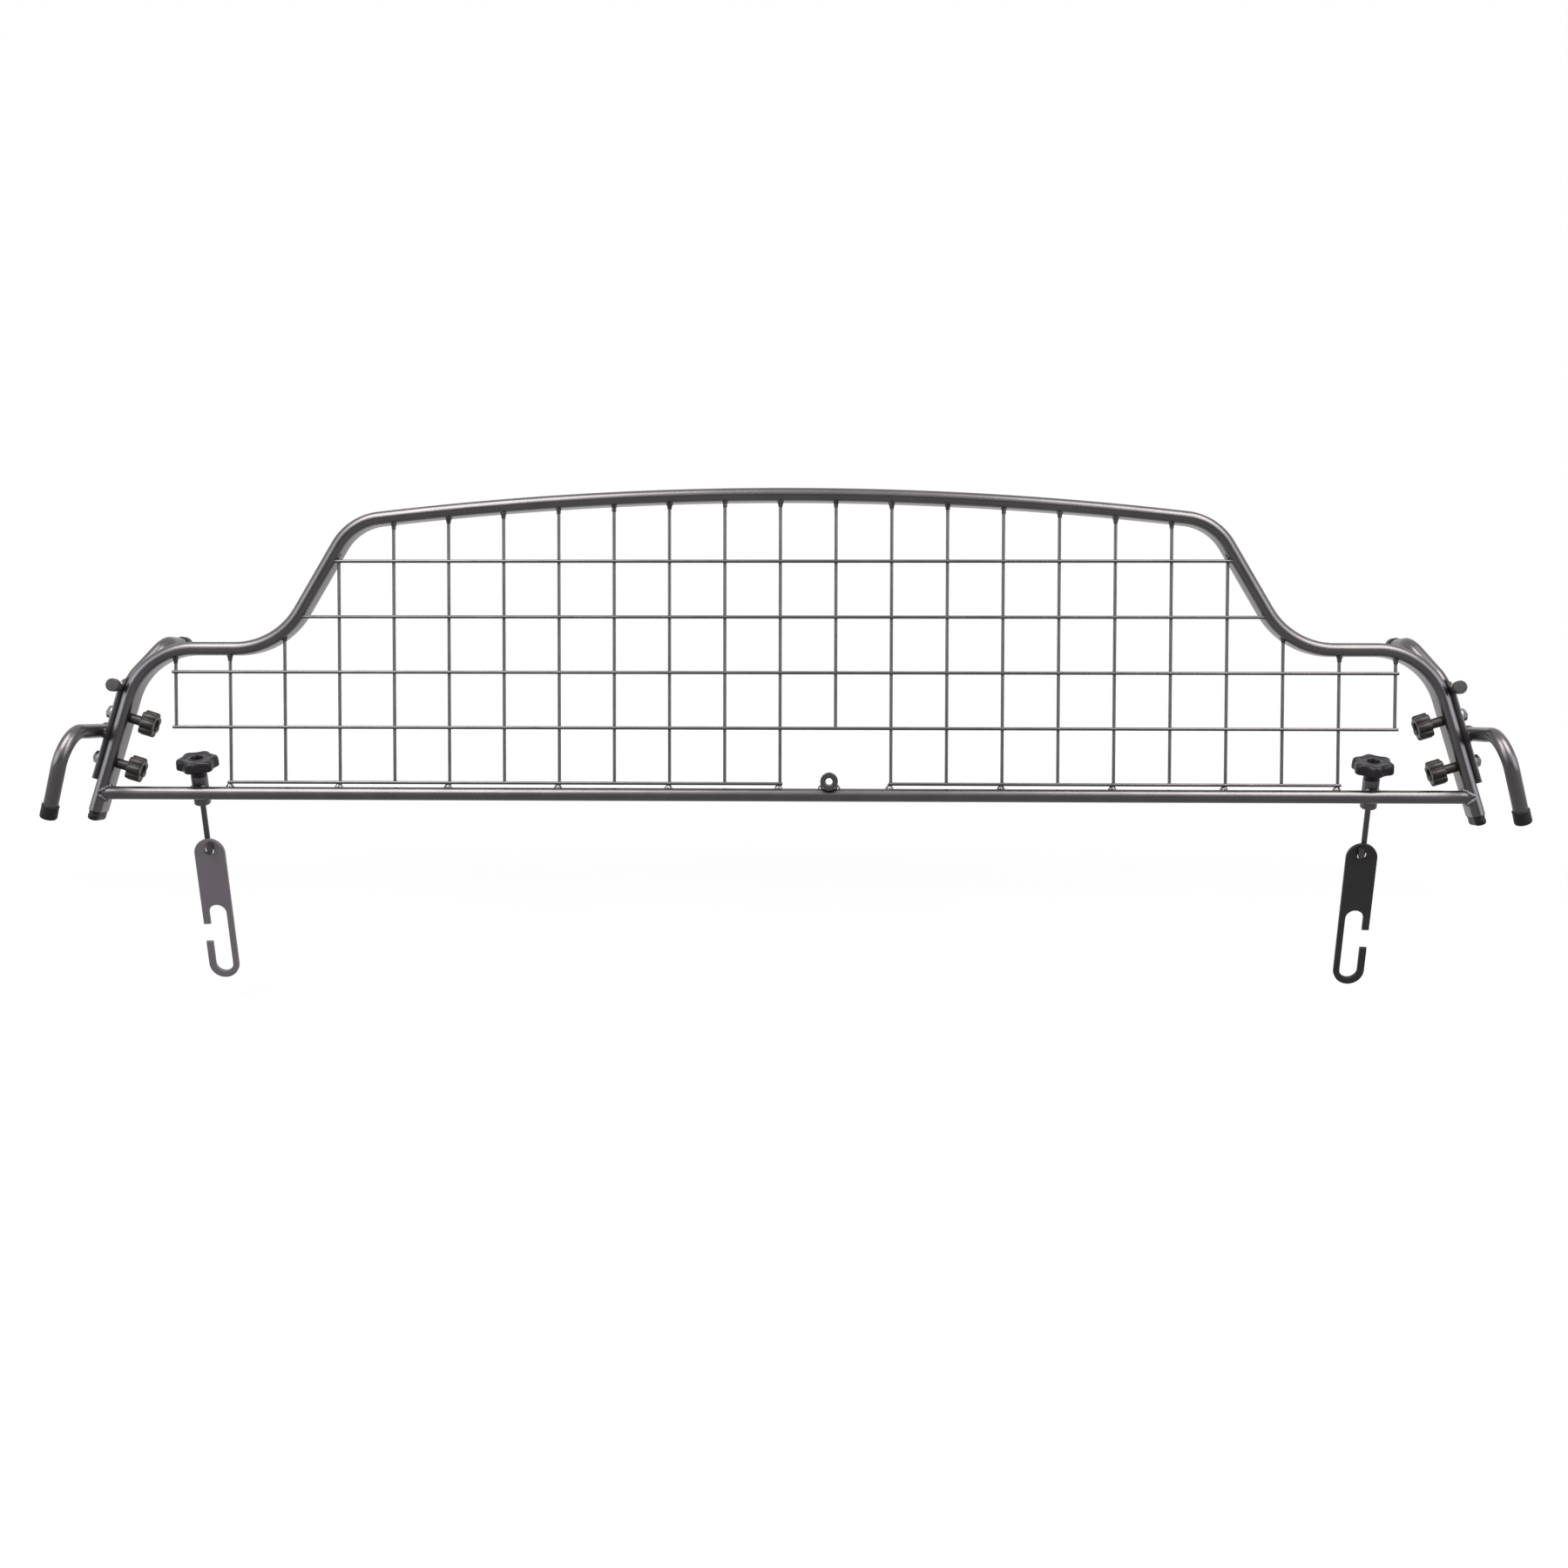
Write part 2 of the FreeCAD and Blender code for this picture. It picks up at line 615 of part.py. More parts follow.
def clamp_point(out, bolt, direction):
    return leg_frame() * placed(FreeCAD.Vector(out, size("bolt_y"), size(bolt)), aimed(direction))


def knob(name, bolt):
    """A star knob with a round neck; its own Z points inboard and its origin is the neck's face."""
    body = new_body(name + "_body")
    neck = sketch_on(body, "XY_Plane", name + "_neck")
    circle(neck, "0", "0", "neck_dia / 2")
    pad(body, neck, "neck_length + knob_thick / 2")
    outline = sketch_on(body, "XY_Plane", name + "_star")
    star(outline, size("knob_dia") / 2, size("knob_valley_dia") / 2, size("knob_lobe_radius"), KNOB_LOBES)
    outline.AttachmentOffset = placed(ALONG_Z * size("neck_length"))
    grip = pad(body, outline, "knob_thick")
    rounded = round_over(body, grip, ALONG_Z, "knob_round")
    hollows = sketch_on(body, "XZ_Plane", name + "_hollows")
    bore = "bolt_dia / 2 + thread_fit"
    depth = "neck_length + bolt_in_knob"
    floor = "neck_length + knob_thick - knob_recess_depth"
    rim = "neck_length + knob_thick + overrun"
    recess = "knob_recess_dia / 2"
    polygon(hollows, (("0", "0"), (bore, "0"), (bore, depth), ("0", depth)))
    polygon(hollows, (("0", floor), (recess, floor), (recess, rim), ("0", rim)))
    revolve(body, "Groove", hollows)
    body.Placement = clamp_point(-pad_face, bolt, -ALONG_X)
    return body


def clamp_bolt(name, bolt):
    """The knob's stud, from inside the knob to just past the nut."""
    inner = pad_face + size("neck_length") + size("bolt_in_knob")
    length = "neck_length + bolt_in_knob + tube_width + pad_thick + plate_thick + 3 * running_gap"
    return primitive("Cylinder", name, clamp_point(-inner, bolt, ALONG_X), Radius="bolt_dia / 2",
                     Height=length + " + washer_thick + nut_thick + bolt_end")


def drilled(name, solid, placement, radius, height):
    return cut(name, solid, primitive("Cylinder", name + "_bore", placement, Radius=radius, Height=height))


def clamp_washer(name, bolt):
    at = clamp_point(arm_face + size("running_gap"), bolt, ALONG_X)
    disc = primitive("Cylinder", name + "_disc", at, Radius="washer_dia / 2", Height="washer_thick")
    return drilled(name, disc, at, "bolt_dia / 2 + washer_clearance", "washer_thick")


def clamp_nut(name, bolt):
    at = clamp_point(arm_face + size("running_gap") + size("washer_thick"), bolt, ALONG_X)
    return hexagon_nut(name, at)


def hexagon_nut(name, at):
    prism = primitive("Prism", name + "_prism", at, Circumradius="nut_flats / sqrt(3)", Height="nut_thick")
    prism.Polygon = 6
    return drilled(name, prism, at, "bolt_dia / 2 + thread_fit", "nut_thick")


# Tension hooks

def tension_sleeve():
    at = hook_frame(1) * placed(ALONG_Z * (size("sleeve_top") - size("sleeve_length")))
    outside = primitive("Cylinder", "sleeve_outside", at, Radius="sleeve_dia / 2", Height="sleeve_length")
    return drilled("sleeve_bored", outside, at, "thread_dia / 2 + bolt_clearance", "sleeve_length")


def wheel_frame(side, turn):
    base = size("sleeve_top") + size("running_gap")
    return hook_frame(side) * placed(ALONG_Z * base, turned(ALONG_Z, size(turn)))


def handwheel(name, side, turn):
    """A star wheel over a conical hub, with a hexagon seat for its insert in the hub's base."""
    body = new_body(name + "_body")
    outline = sketch_on(body, "XY_Plane", name + "_star")
    star(outline, size("star_dia") / 2, size("star_valley_dia") / 2, size("star_lobe_radius"), STAR_LOBES)
    outline.AttachmentOffset = placed(ALONG_Z * size("hub_height"))
    rim = pad(body, outline, "star_thick")
    upper = round_over(body, rim, ALONG_Z, "star_round")
    round_over(body, upper, -ALONG_Z, "star_round / 2")
    hub = sketch_on(body, "XZ_Plane", name + "_hub")
    middle = "hub_height + star_thick / 2"
    polygon(hub, (("0", "0"), ("hub_base_dia / 2", "0"), ("hub_top_dia / 2", "hub_height"),
                  ("hub_top_dia / 2", middle), ("0", middle)))
    revolve(body, "Revolution", hub)
    hollows = sketch_on(body, "XZ_Plane", name + "_hollows")
    bore = "thread_dia / 2 + bolt_clearance"
    top = "hub_height + star_thick"
    recess = "star_recess_dia / 2"
    polygon(hollows, (("0", "0"), (bore, "0"), (bore, f"{top} - star_recess_depth"),
                      (recess, f"{top} - star_recess_depth"), (recess, f"{top} + overrun"),
                      ("0", f"{top} + overrun")))
    revolve(body, "Groove", hollows)
    seat = sketch_on(body, "XY_Plane", name + "_seat")
    corner = "nut_flats / sqrt(3)"
    polygon(seat, [(f"{corner} * cos({60 * index})", f"{corner} * sin({60 * index})") for index in range(6)])
    pocket(body, seat, "nut_thick", backwards=True)
    body.Placement = wheel_frame(side, turn)
    return body


def hook_bend_radius():
    across = size("rod_dia") + size("hook_thick") + 2 * size("hook_clearance")
    return across / 2 / cos(radians(size("rod_bend_turn")))


def hook_rod():
    """A threaded top, a plain shank, and a U-bend that comes up in front of the hook plate."""
    turn = radians(size("rod_bend_turn"))
    across = FreeCAD.Vector(-sin(turn), -cos(turn), 0) * 2 * hook_bend_radius()
    low = ALONG_Z * -size("hook_drop")
    neck = ALONG_Z * (size("rod_top") - size("thread_length"))
    points = [neck, low, low + across, low + across + ALONG_Z * size("rod_tail")]
    radii = [hook_bend_radius(), hook_bend_radius()]
    path = path_of("rod_path", rounded_run(points, radii))
    shank = sweep("rod_shank", path, round_section("rod_ring", points, "rod_dia / 2"))
    thread = primitive("Cylinder", "rod_thread", placed(neck), Radius="thread_dia / 2",
                       Height="thread_length")
    rod = doc.addObject("Part::Fuse", "rod_fused")
    rod.Base = thread
    rod.Tool = shank
    rod.Placement = hook_frame(1)
    return rod


def hook_plate():
    """A flat strip with round ends; its origin is the hinge hole on its back face, its outboard side +X."""
    body = new_body("hook_plate_body")
    width = "(inner_strip + slot_width + outer_strip)"
    strip = sketch_on(body, "XZ_Plane", "hook_outline")
    obround(strip, "0", f"hook_above_hole - hook_length + {width} / 2", f"hook_above_hole - {width} / 2",
            f"{width} / 2")
    pad(body, strip, "hook_thick")
    openings = sketch_on(body, "XZ_Plane", "hook_openings")
    hinge = "rod_dia / 2 / cos(rod_bend_turn) + hook_thick / 2 * tan(rod_bend_turn) + hinge_clearance"
    circle(openings, "0", "0", hinge)
    slot_top = "hook_above_hole - hook_solid"
    slot_bottom = "hook_above_hole - hook_length + end_strip"
    slot_x = "inner_strip / 2 - outer_strip / 2"
    obround(openings, slot_x, f"{slot_bottom} + slot_width / 2", f"{slot_top} - slot_width / 2",
            "slot_width / 2")
    pocket(body, openings, "hook_thick", backwards=True)
    mouth = sketch_on(body, "XZ_Plane", "hook_mouth")
    mouth_top = f"{slot_top} - mouth_below_slot_top"
    edge = f"{width} / 2 + overrun"
    polygon(mouth, ((slot_x, f"{mouth_top} - mouth_height"), (edge, f"{mouth_top} - mouth_height"),
                    (edge, mouth_top), (slot_x, mouth_top)))
    pocket(body, mouth, "hook_thick", backwards=True)
    hole_x = -hook_bend_radius() * sin(radians(size("rod_bend_turn")))
    back = -size("rod_dia") / 2 - size("hook_clearance")
    hole = FreeCAD.Vector(hole_x, back, size("hinge_rise") - size("hook_drop"))
    body.Placement = hook_frame(1) * placed(hole)
    return body


# Right and left sides

def right_side():
    """The pieces of the right side that the left side repeats as a mirror image."""
    rubber = slotted_strip("bracket_pad", pad_face, "pad_top", "pad_thick")
    plate = slotted_strip("bracket_plate", plate_face, "plate_top", "plate_thick")
    lower_points = lower_arm_points()
    upper_points = upper_arm_points()
    peg, peg_cap = stop_peg(plate, rubber)
    pieces = {
        "foot_cap": foot_cap(),
        "bracket_pad": rubber,
        "bracket_plate": plate,
        "lower_arm": arm("lower_arm_tube", lower_points, [size("arm_front_radius")]),
        "lower_arm_front_cap": arm_cap("front_cap", lower_points[::-1]),
        "lower_arm_rear_cap": arm_cap("rear_cap", lower_points),
        "upper_arm": arm("upper_arm_tube", upper_points, [size("top_arm_radius")] * 2),
        "upper_arm_cap": arm_cap("top_cap", upper_points),
        "stop_peg": peg,
        "stop_peg_cap": peg_cap,
        "tension_sleeve": tension_sleeve(),
        "hook_rod": hook_rod(),
        "hook_plate": hook_plate(),
    }
    for level in ("lower", "upper"):
        bolt = level + "_bolt_up"
        pieces[level + "_knob"] = knob(level + "_knob", bolt)
        pieces[level + "_bolt"] = clamp_bolt(level + "_stud", bolt)
    washers = [clamp_washer(level + "_washer", level + "_bolt_up") for level in ("lower", "upper")]
    nuts = [clamp_nut(level + "_nut", level + "_bolt_up") for level in ("lower", "upper")]
    pieces["clamp_washers"] = group("washers", washers)
    pieces["clamp_nuts"] = group("nuts", nuts)
    return pieces


for name, piece in right_side().items():
    node(mirrored("left_" + name, piece), "left_" + name)
    node(piece, "right_" + name)

for side_name, side in (("left", -1), ("right", 1)):
    wheel_turn = side_name + "_wheel_turn"
    node(handwheel(side_name + "_wheel", side, wheel_turn), side_name + "_handwheel")
    node(hexagon_nut(side_name + "_insert", wheel_frame(side, wheel_turn)), side_name + "_handwheel_insert")


# Checks and files

doc.recompute()
for thing in doc.Objects:
    if "Invalid" in thing.State or "Error" in thing.State:
        raise RuntimeError(f"{thing.Name} is {thing.State}")
for thing in nodes:
    if thing.Shape.isNull() or not thing.Shape.isValid():
        raise RuntimeError(f"{thing.Label} has no valid shape")

os.makedirs("parts", exist_ok=True)
for thing in nodes:
    thing.Shape.exportStep(os.path.join("parts", thing.Label + ".step"))
    print(f"{thing.Label}: {len(thing.Shape.Solids)} solids, {thing.Shape.Volume:.1f} mm3")
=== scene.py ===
import random
from math import atan2, cos, pi, radians, sin, sqrt, tan

import bmesh
import bpy
from mathutils import Matrix, Vector


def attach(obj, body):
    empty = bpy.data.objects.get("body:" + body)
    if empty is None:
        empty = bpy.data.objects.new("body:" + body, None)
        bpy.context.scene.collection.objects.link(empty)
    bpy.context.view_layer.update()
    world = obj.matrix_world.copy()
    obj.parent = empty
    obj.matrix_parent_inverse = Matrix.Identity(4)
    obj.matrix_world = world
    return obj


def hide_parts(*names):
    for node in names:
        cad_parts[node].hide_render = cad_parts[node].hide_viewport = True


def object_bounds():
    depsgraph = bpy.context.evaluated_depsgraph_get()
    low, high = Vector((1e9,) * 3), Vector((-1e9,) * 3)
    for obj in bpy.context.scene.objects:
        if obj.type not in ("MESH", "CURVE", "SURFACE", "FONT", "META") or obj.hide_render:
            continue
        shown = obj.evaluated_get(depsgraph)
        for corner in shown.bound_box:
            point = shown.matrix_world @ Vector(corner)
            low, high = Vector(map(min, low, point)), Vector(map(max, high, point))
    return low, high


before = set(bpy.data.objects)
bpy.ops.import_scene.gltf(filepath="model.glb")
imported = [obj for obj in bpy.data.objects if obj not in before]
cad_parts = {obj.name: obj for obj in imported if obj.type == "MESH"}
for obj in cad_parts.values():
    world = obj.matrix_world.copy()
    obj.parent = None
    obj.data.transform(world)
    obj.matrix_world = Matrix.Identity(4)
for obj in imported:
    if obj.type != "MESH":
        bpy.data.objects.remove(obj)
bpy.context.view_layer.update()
random.seed(7)

# Lengths are in millimetres and the frames below turn them into metres. Round sizes are radii.
MM = 0.001
SIDES = {"left": -1, "right": 1}
TINY = 1e-9

# Hoop
LEG_X = 620
LEG_LEAN = radians(17)
FOOT_DROP = 17
SHOULDER = 131.5
SHOULDER_RADIUS = 62.5
STEP_RADIUS = 70
DIAGONAL_X = 421
DIAGONAL_HEIGHT = 190
DIAGONAL_LEAN = radians(30.5)
CORNER_RADIUS = 50
ARCH_HEIGHT = 270
ARCH_RADIUS = 3150
TUBE = 6
TUBE_FLAT = 16

# Crossbar and mesh
BAR = 6
BOSS = Vector((44.4, -10, 12.6))
WIRE = 1.5
PITCH = 50
LOWEST_ROW = 10.2
ROW_OVERHANG = 2.4
LAST_WIRE = 11

# Bracket: distances outboard of the leg's middle and heights along the leg
PAD_FACE = 6.1
PLATE_FACE = 8.6
ARM_FACE = 11.1
STRIP_THICK = 2.5
ARM = 6.5
ARM_LEVEL = 53.5
ARM_FRONT = 75
UPPER_ARM_OUT = 9.85
BOLT_Y = 5
BOLT_LEVELS = {"lower": 30, "upper": 73}
WASHER_THICK = 1.2
THREAD = 3
PEG_LENGTH = 17

# Tension hook
HOOK_X = 532
HOOK_LEAN = radians(20)
HOOK_BACK = 13.5
HOOK_DROP = 62.1
HOOK_THICK = 3.5
ROD = 2.6
THREAD_START = -14
ROD_TURN = radians(25)
WHEEL_TURNS = {-1: radians(20), 1: radians(30)}
WHEEL_LEVEL = 12.6

MIDDLE = Matrix.Scale(MM, 4)
MIRROR = Matrix.Diagonal((-1, 1, 1, 1))
RIGHT_LEG = Matrix.Translation((LEG_X, 0, 0)) @ Matrix.Rotation(-LEG_LEAN, 4, "Y")
HOOK_BASE = Vector((HOOK_X, HOOK_BACK * cos(HOOK_LEAN), HOOK_BACK * sin(HOOK_LEAN)))
RIGHT_HOOK = Matrix.Translation(HOOK_BASE) @ Matrix.Rotation(HOOK_LEAN, 4, "X")


def leg(side):
    return MIDDLE @ (MIRROR if side < 0 else Matrix()) @ RIGHT_LEG


def hook(side):
    return MIDDLE @ (MIRROR if side < 0 else Matrix()) @ RIGHT_HOOK


def aimed(at, direction):
    """A frame at a point whose Z runs along a direction."""
    turn = Vector(direction).to_track_quat("Z", "Y").to_matrix().to_4x4()
    return Matrix.Translation(at) @ turn


# Materials

def node_material(name):
    material = bpy.data.materials.new(name)
    material.use_nodes = True
    nodes = material.node_tree.nodes
    return material, nodes, material.node_tree.links, nodes["Principled BSDF"]


def object_noise(nodes, links, scale, detail):
    place = nodes.new("ShaderNodeTexCoord")
    noise = nodes.new("ShaderNodeTexNoise")
    noise.inputs["Scale"].default_value = scale
    noise.inputs["Detail"].default_value = detail
    links.new(place.outputs["Object"], noise.inputs["Vector"])
    return noise.outputs["Fac"]


def two_tones(nodes, links, source, low, high):
    """Blends two colours over the middle of the noise's range."""
    colours = nodes.new("ShaderNodeValToRGB")
    for stop, position, colour in zip(colours.color_ramp.elements, (0.35, 0.65), (low, high)):
        stop.position = position
        stop.color = (*colour, 1)
    links.new(source, colours.inputs["Fac"])
    return colours.outputs["Color"]


def between(nodes, links, source, low, high, start=0, end=1):
    """Maps a source that runs from start to end onto low to high."""
    level = nodes.new("ShaderNodeMapRange")
    level.inputs["From Min"].default_value = start
    level.inputs["From Max"].default_value = end
    level.inputs["To Min"].default_value = low
    level.inputs["To Max"].default_value = high
    links.new(source, level.inputs["Value"])
    return level.outputs["Result"]


def finish(name, low, high, metallic, roughness, grain, depth, strength=0.35, specular=0.5):
    """A surface with patches of two tones, uneven sheen and a fine grain."""
    material, nodes, links, shader = node_material(name)
    patches = object_noise(nodes, links, 35, 3)
    links.new(two_tones(nodes, links, patches, low, high), shader.inputs["Base Color"])
    fine = object_noise(nodes, links, grain, 2)
    links.new(between(nodes, links, fine, *roughness), shader.inputs["Roughness"])
    bump = nodes.new("ShaderNodeBump")
    bump.inputs["Strength"].default_value = strength
    bump.inputs["Distance"].default_value = depth * MM
    links.new(fine, bump.inputs["Height"])
    links.new(bump.outputs["Normal"], shader.inputs["Normal"])
    shader.inputs["Metallic"].default_value = metallic
    shader.inputs["Specular IOR Level"].default_value = specular
    return material


COATED = finish("coated_steel", (0.114, 0.108, 0.112), (0.129, 0.122, 0.126), 0.95, (0.285, 0.315),
                1200, 0.02, strength=0.02)
WIRES = finish("coated_wire", (0.098, 0.094, 0.097), (0.122, 0.117, 0.12), 0.9, (0.31, 0.34),
               700, 0.01, strength=0.02)
# Weld metal in two copies: a darker one with painted shade for the funnels under the hoop, the wire crossings and
# the bracket beads, and a lighter one with painted light for the welds on the crossbar.
PAINTED_SHADE_WELD = finish("painted_shade_weld_steel", (0.05, 0.048, 0.052), (0.11, 0.106, 0.112), 0.9, (0.22, 0.34), 900, 0.15)
PAINTED_LIGHT_WELD = finish("painted_light_weld_steel", (0.1, 0.097, 0.102), (0.22, 0.214, 0.222), 0.9, (0.25, 0.35),
                      900, 0.1, strength=0.25)
SLEEVE_STEEL = finish("sleeve_steel", (0.1, 0.097, 0.102), (0.13, 0.127, 0.132), 0.85, (0.3, 0.42),
                      1500, 0.04, strength=0.2)
ROD_STEEL = finish("rod_steel", (0.08, 0.072, 0.072), (0.1, 0.091, 0.09), 0.85, (0.28, 0.38),
                   1500, 0.04, strength=0.2)
DARK_STEEL = finish("dark_steel", (0.03, 0.028, 0.03), (0.04, 0.038, 0.04), 0.5, (0.38, 0.5), 1500, 0.05)
# The two hooks share one steel: the left copy is lighter with painted light, the right copy darker with painted
# shade.
HOOK_STEEL_PAINTED_LIGHT = {
    -1: finish("left_hook_steel_painted_light", (0.17, 0.156, 0.172), (0.184, 0.168, 0.186), 0.55, (0.42, 0.52),
               1500, 0.04, strength=0.2),
    1: finish("right_hook_steel_painted_shade", (0.024, 0.022, 0.023), (0.03, 0.028, 0.029), 0.5, (0.42, 0.52),
              1500, 0.04, strength=0.2),
}
NUT_STEEL = finish("nut_steel", (0.1, 0.1, 0.105), (0.42, 0.41, 0.43), 0.95, (0.16, 0.3), 600, 0.1)
ZINC = finish("zinc_steel", (0.3, 0.3, 0.31), (0.46, 0.46, 0.48), 0.95, (0.22, 0.38), 1200, 0.08)
PLASTIC = finish("black_plastic", (0.008, 0.0065, 0.009), (0.012, 0.01, 0.0135), 0.0, (0.3, 0.4),
                 2200, 0.04, strength=0.05, specular=0.28)
KNOB_PLASTIC = finish("knob_plastic", (0.012, 0.0095, 0.009), (0.018, 0.0145, 0.0135), 0.0, (0.34, 0.44),
                      2200, 0.05, strength=0.06, specular=0.35)
RUBBER = finish("black_rubber", (0.005, 0.004, 0.0045), (0.009, 0.0075, 0.008), 0.0, (0.42, 0.55),
                1600, 0.06, specular=0.3)
PEG_RUBBER = finish("peg_rubber", (0.03, 0.028, 0.029), (0.045, 0.042, 0.043), 0.0, (0.55, 0.66),
                    1600, 0.08, specular=0.4)


# Pieces from meshes

def piece(name, parts, at, material, body, nodes=(), sharp=32):
    """One piece from (points, faces) parts, all in the same local frame."""
    built = bmesh.new()
    for points, faces in parts:
        corners = [built.verts.new(at @ Vector(point)) for point in points]
        for face in faces:
            built.faces.new([corners[index] for index in face])
    bmesh.ops.recalc_face_normals(built, faces=built.faces)
    mesh = bpy.data.meshes.new(name)
    built.to_mesh(mesh)
    built.free()
    mesh.materials.append(material)
    mesh.shade_smooth()
    mesh.set_sharp_from_angle(angle=radians(sharp))
    thing = bpy.data.objects.new(name, mesh)
    bpy.context.scene.collection.objects.link(thing)
    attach(thing, body)
    if nodes:
        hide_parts(*nodes)


def skin(rings, closed_ends=True, wraps=False):
    """Joins rings of equal length; a ring of one point closes the skin at a pole."""
    points = []
    starts = []
    for ring in rings:
        starts.append(len(points))
        points += [Vector(point) for point in ring]
    faces = []
    pairs = list(zip(range(len(rings)), range(1, len(rings))))
    if wraps:
        pairs.append((len(rings) - 1, 0))
    for low, high in pairs:
        a, b = starts[low], starts[high]
        count = max(len(rings[low]), len(rings[high]))
        for i in range(count):
            j = (i + 1) % count
            if len(rings[low]) == 1:
                faces.append((a, b + i, b + j))
            elif len(rings[high]) == 1:
                faces.append((a + i, a + j, b))
            else:
                faces.append((a + i, a + j, b + j, b + i))
    if closed_ends and not wraps:
        for index in (0, len(rings) - 1):
            if len(rings[index]) > 2:
                ends = [starts[index] + i for i in range(len(rings[index]))]
                faces.append(ends if index else ends[::-1])
    return points, faces


def moved(part, at):
    points, faces = part
    return [at @ Vector(point) for point in points], faces


def circle(radius, height, count):
    return [(radius * cos(2 * pi * i / count), radius * sin(2 * pi * i / count), height) for i in range(count)]


def lathe(profile, count=64):
    """Turns (radius, height) points round Z; a radius of zero makes a pole."""
    return skin([circle(radius, height, count) if radius else [(0, 0, height)] for radius, height in profile])


def turned_ring(profile, count):
    """Turns a closed (radius, height) outline round Z, with a hole along the axis."""
    return skin([circle(radius, height, count) for radius, height in profile], wraps=True)


def rounded_profile(corners):
    """Rounds the inner corners of (radius, height, rounding) points."""
    steps = 5
    made = [tuple(corners[0][:2])]
    for before, corner, after in zip(corners, corners[1:], corners[2:]):
        here = Vector(corner[:2])
        rounding = corner[2]
        if rounding == 0:
            made.append(tuple(here))
            continue
        into = (here - Vector(before[:2])).normalized()
        out = (Vector(after[:2]) - here).normalized()
        half = into.angle(out) / 2
        start = here - into * rounding * tan(half)
        end = here + out * rounding * tan(half)
        centre = here + (out - into).normalized() * rounding / cos(half)
        a = atan2(*(start - centre).yx)
        b = atan2(*(end - centre).yx)
        turn = (b - a + pi) % (2 * pi) - pi
        for step in range(steps + 1):
            angle = a + turn * step / steps
            made.append((centre.x + rounding * cos(angle), centre.y + rounding * sin(angle)))
    made.append(tuple(corners[-1][:2]))
    return made


def rounded_run(points, radii, step=radians(3)):
    """Straight runs joined by tangent arcs, as points with their directions."""
    points = [Vector(point) for point in points]
    made = [(points[0], (points[1] - points[0]).normalized())]
    for before, corner, after, radius in zip(points, points[1:], points[2:], radii):
        into = (corner - before).normalized()
        out = (after - corner).normalized()
        turn = into.angle(out)
        start = corner - into * radius * tan(turn / 2)
        inward = (out - into * into.dot(out)).normalized()
        centre = start + inward * radius
        count = max(4, int(turn / step))
        for index in range(count + 1):
            angle = turn * index / count
            direction = into * cos(angle) + inward * sin(angle)
            made.append((centre - inward * radius * cos(angle) + into * radius * sin(angle), direction))
    made.append((points[-1], (points[-1] - points[-2]).normalized()))
    return made


def across(direction, previous):
    """A sideways unit vector carried along a path without twist."""
    side = previous - direction * previous.dot(direction)
    return side.normalized()


def round_sweep(run, radius, count=40):
    """A round bar along a run; radius is a number or a function of the index and angle."""
    side = run[0][1].orthogonal().normalized()
    rings = []
    for index, (point, direction) in enumerate(run):
        side = across(direction, side)
        up = direction.cross(side)
        ring = []
        for i in range(count):
            angle = 2 * pi * i / count
            reach = radius(index, angle) if callable(radius) else radius
            ring.append(point + side * reach * cos(angle) + up * reach * sin(angle))
        rings.append(ring)
    return skin(rings)


def bar_between(start, end, radius, count=28):
    """A straight round bar with slightly broken end edges."""
    chamfer = 0.25
    start, end = Vector(start), Vector(end)
    length = (end - start).length
    profile = [(0, 0), (radius - chamfer, 0), (radius, chamfer), (radius, length - chamfer),
               (radius - chamfer, length), (0, length)]
    return moved(lathe(profile, count), aimed(start, end - start))


def threaded_bar(start, end, radius):
    """A bar with a helical thread that fades out at both ends."""
    pitch, depth, count = 1.0, 0.35, 24
    levels_per_turn = 6
    fade, end_drop = 0.5, 0.1
    length = (Vector(end) - Vector(start)).length
    levels = int(length / pitch * levels_per_turn)
    rings = [[(0, 0, 0)]]
    for level in range(levels + 1):
        z = length * level / levels
        taper = min(1, z / fade, (length - z) / fade)
        ring = []
        for i in range(count):
            angle = 2 * pi * i / count
            wave = abs(((z / pitch - i / count) % 1) * 2 - 1)
            reach = radius - depth + depth * (1 - wave) * taper - end_drop * (1 - taper)
            ring.append((reach * cos(angle), reach * sin(angle), z))
        rings.append(ring)
    rings.append([(0, 0, length)])
    return moved(skin(rings), aimed(start, Vector(end) - Vector(start)))


def m6_hexagon():
    """A nut along Z with its corners chamfered at both ends and its bore countersunk."""
    flats, height, bore = 10, 3.2, 3.05
    count = 96
    sink = 0.4
    crown = flats / 2 * 0.95
    ways, low, high = [], [], []
    for i in range(count):
        angle = 2 * pi * i / count
        reach = flats / 2 / cos((angle + pi / 6) % (pi / 3) - pi / 6)
        drop = max(0, reach - flats / 2 * 0.99) * tan(radians(30))
        way = Vector((cos(angle), sin(angle), 0))
        ways.append(way)
        low.append(way * reach + Vector((0, 0, drop)))
        high.append(way * reach + Vector((0, 0, height - drop)))

    def ring(radius, z):
        return [way * radius + Vector((0, 0, z)) for way in ways]
    return skin([ring(bore, sink), ring(bore + sink, 0), ring(crown, 0), low, high, ring(crown, height),
                 ring(bore + sink, height), ring(bore, height - sink)], wraps=True)


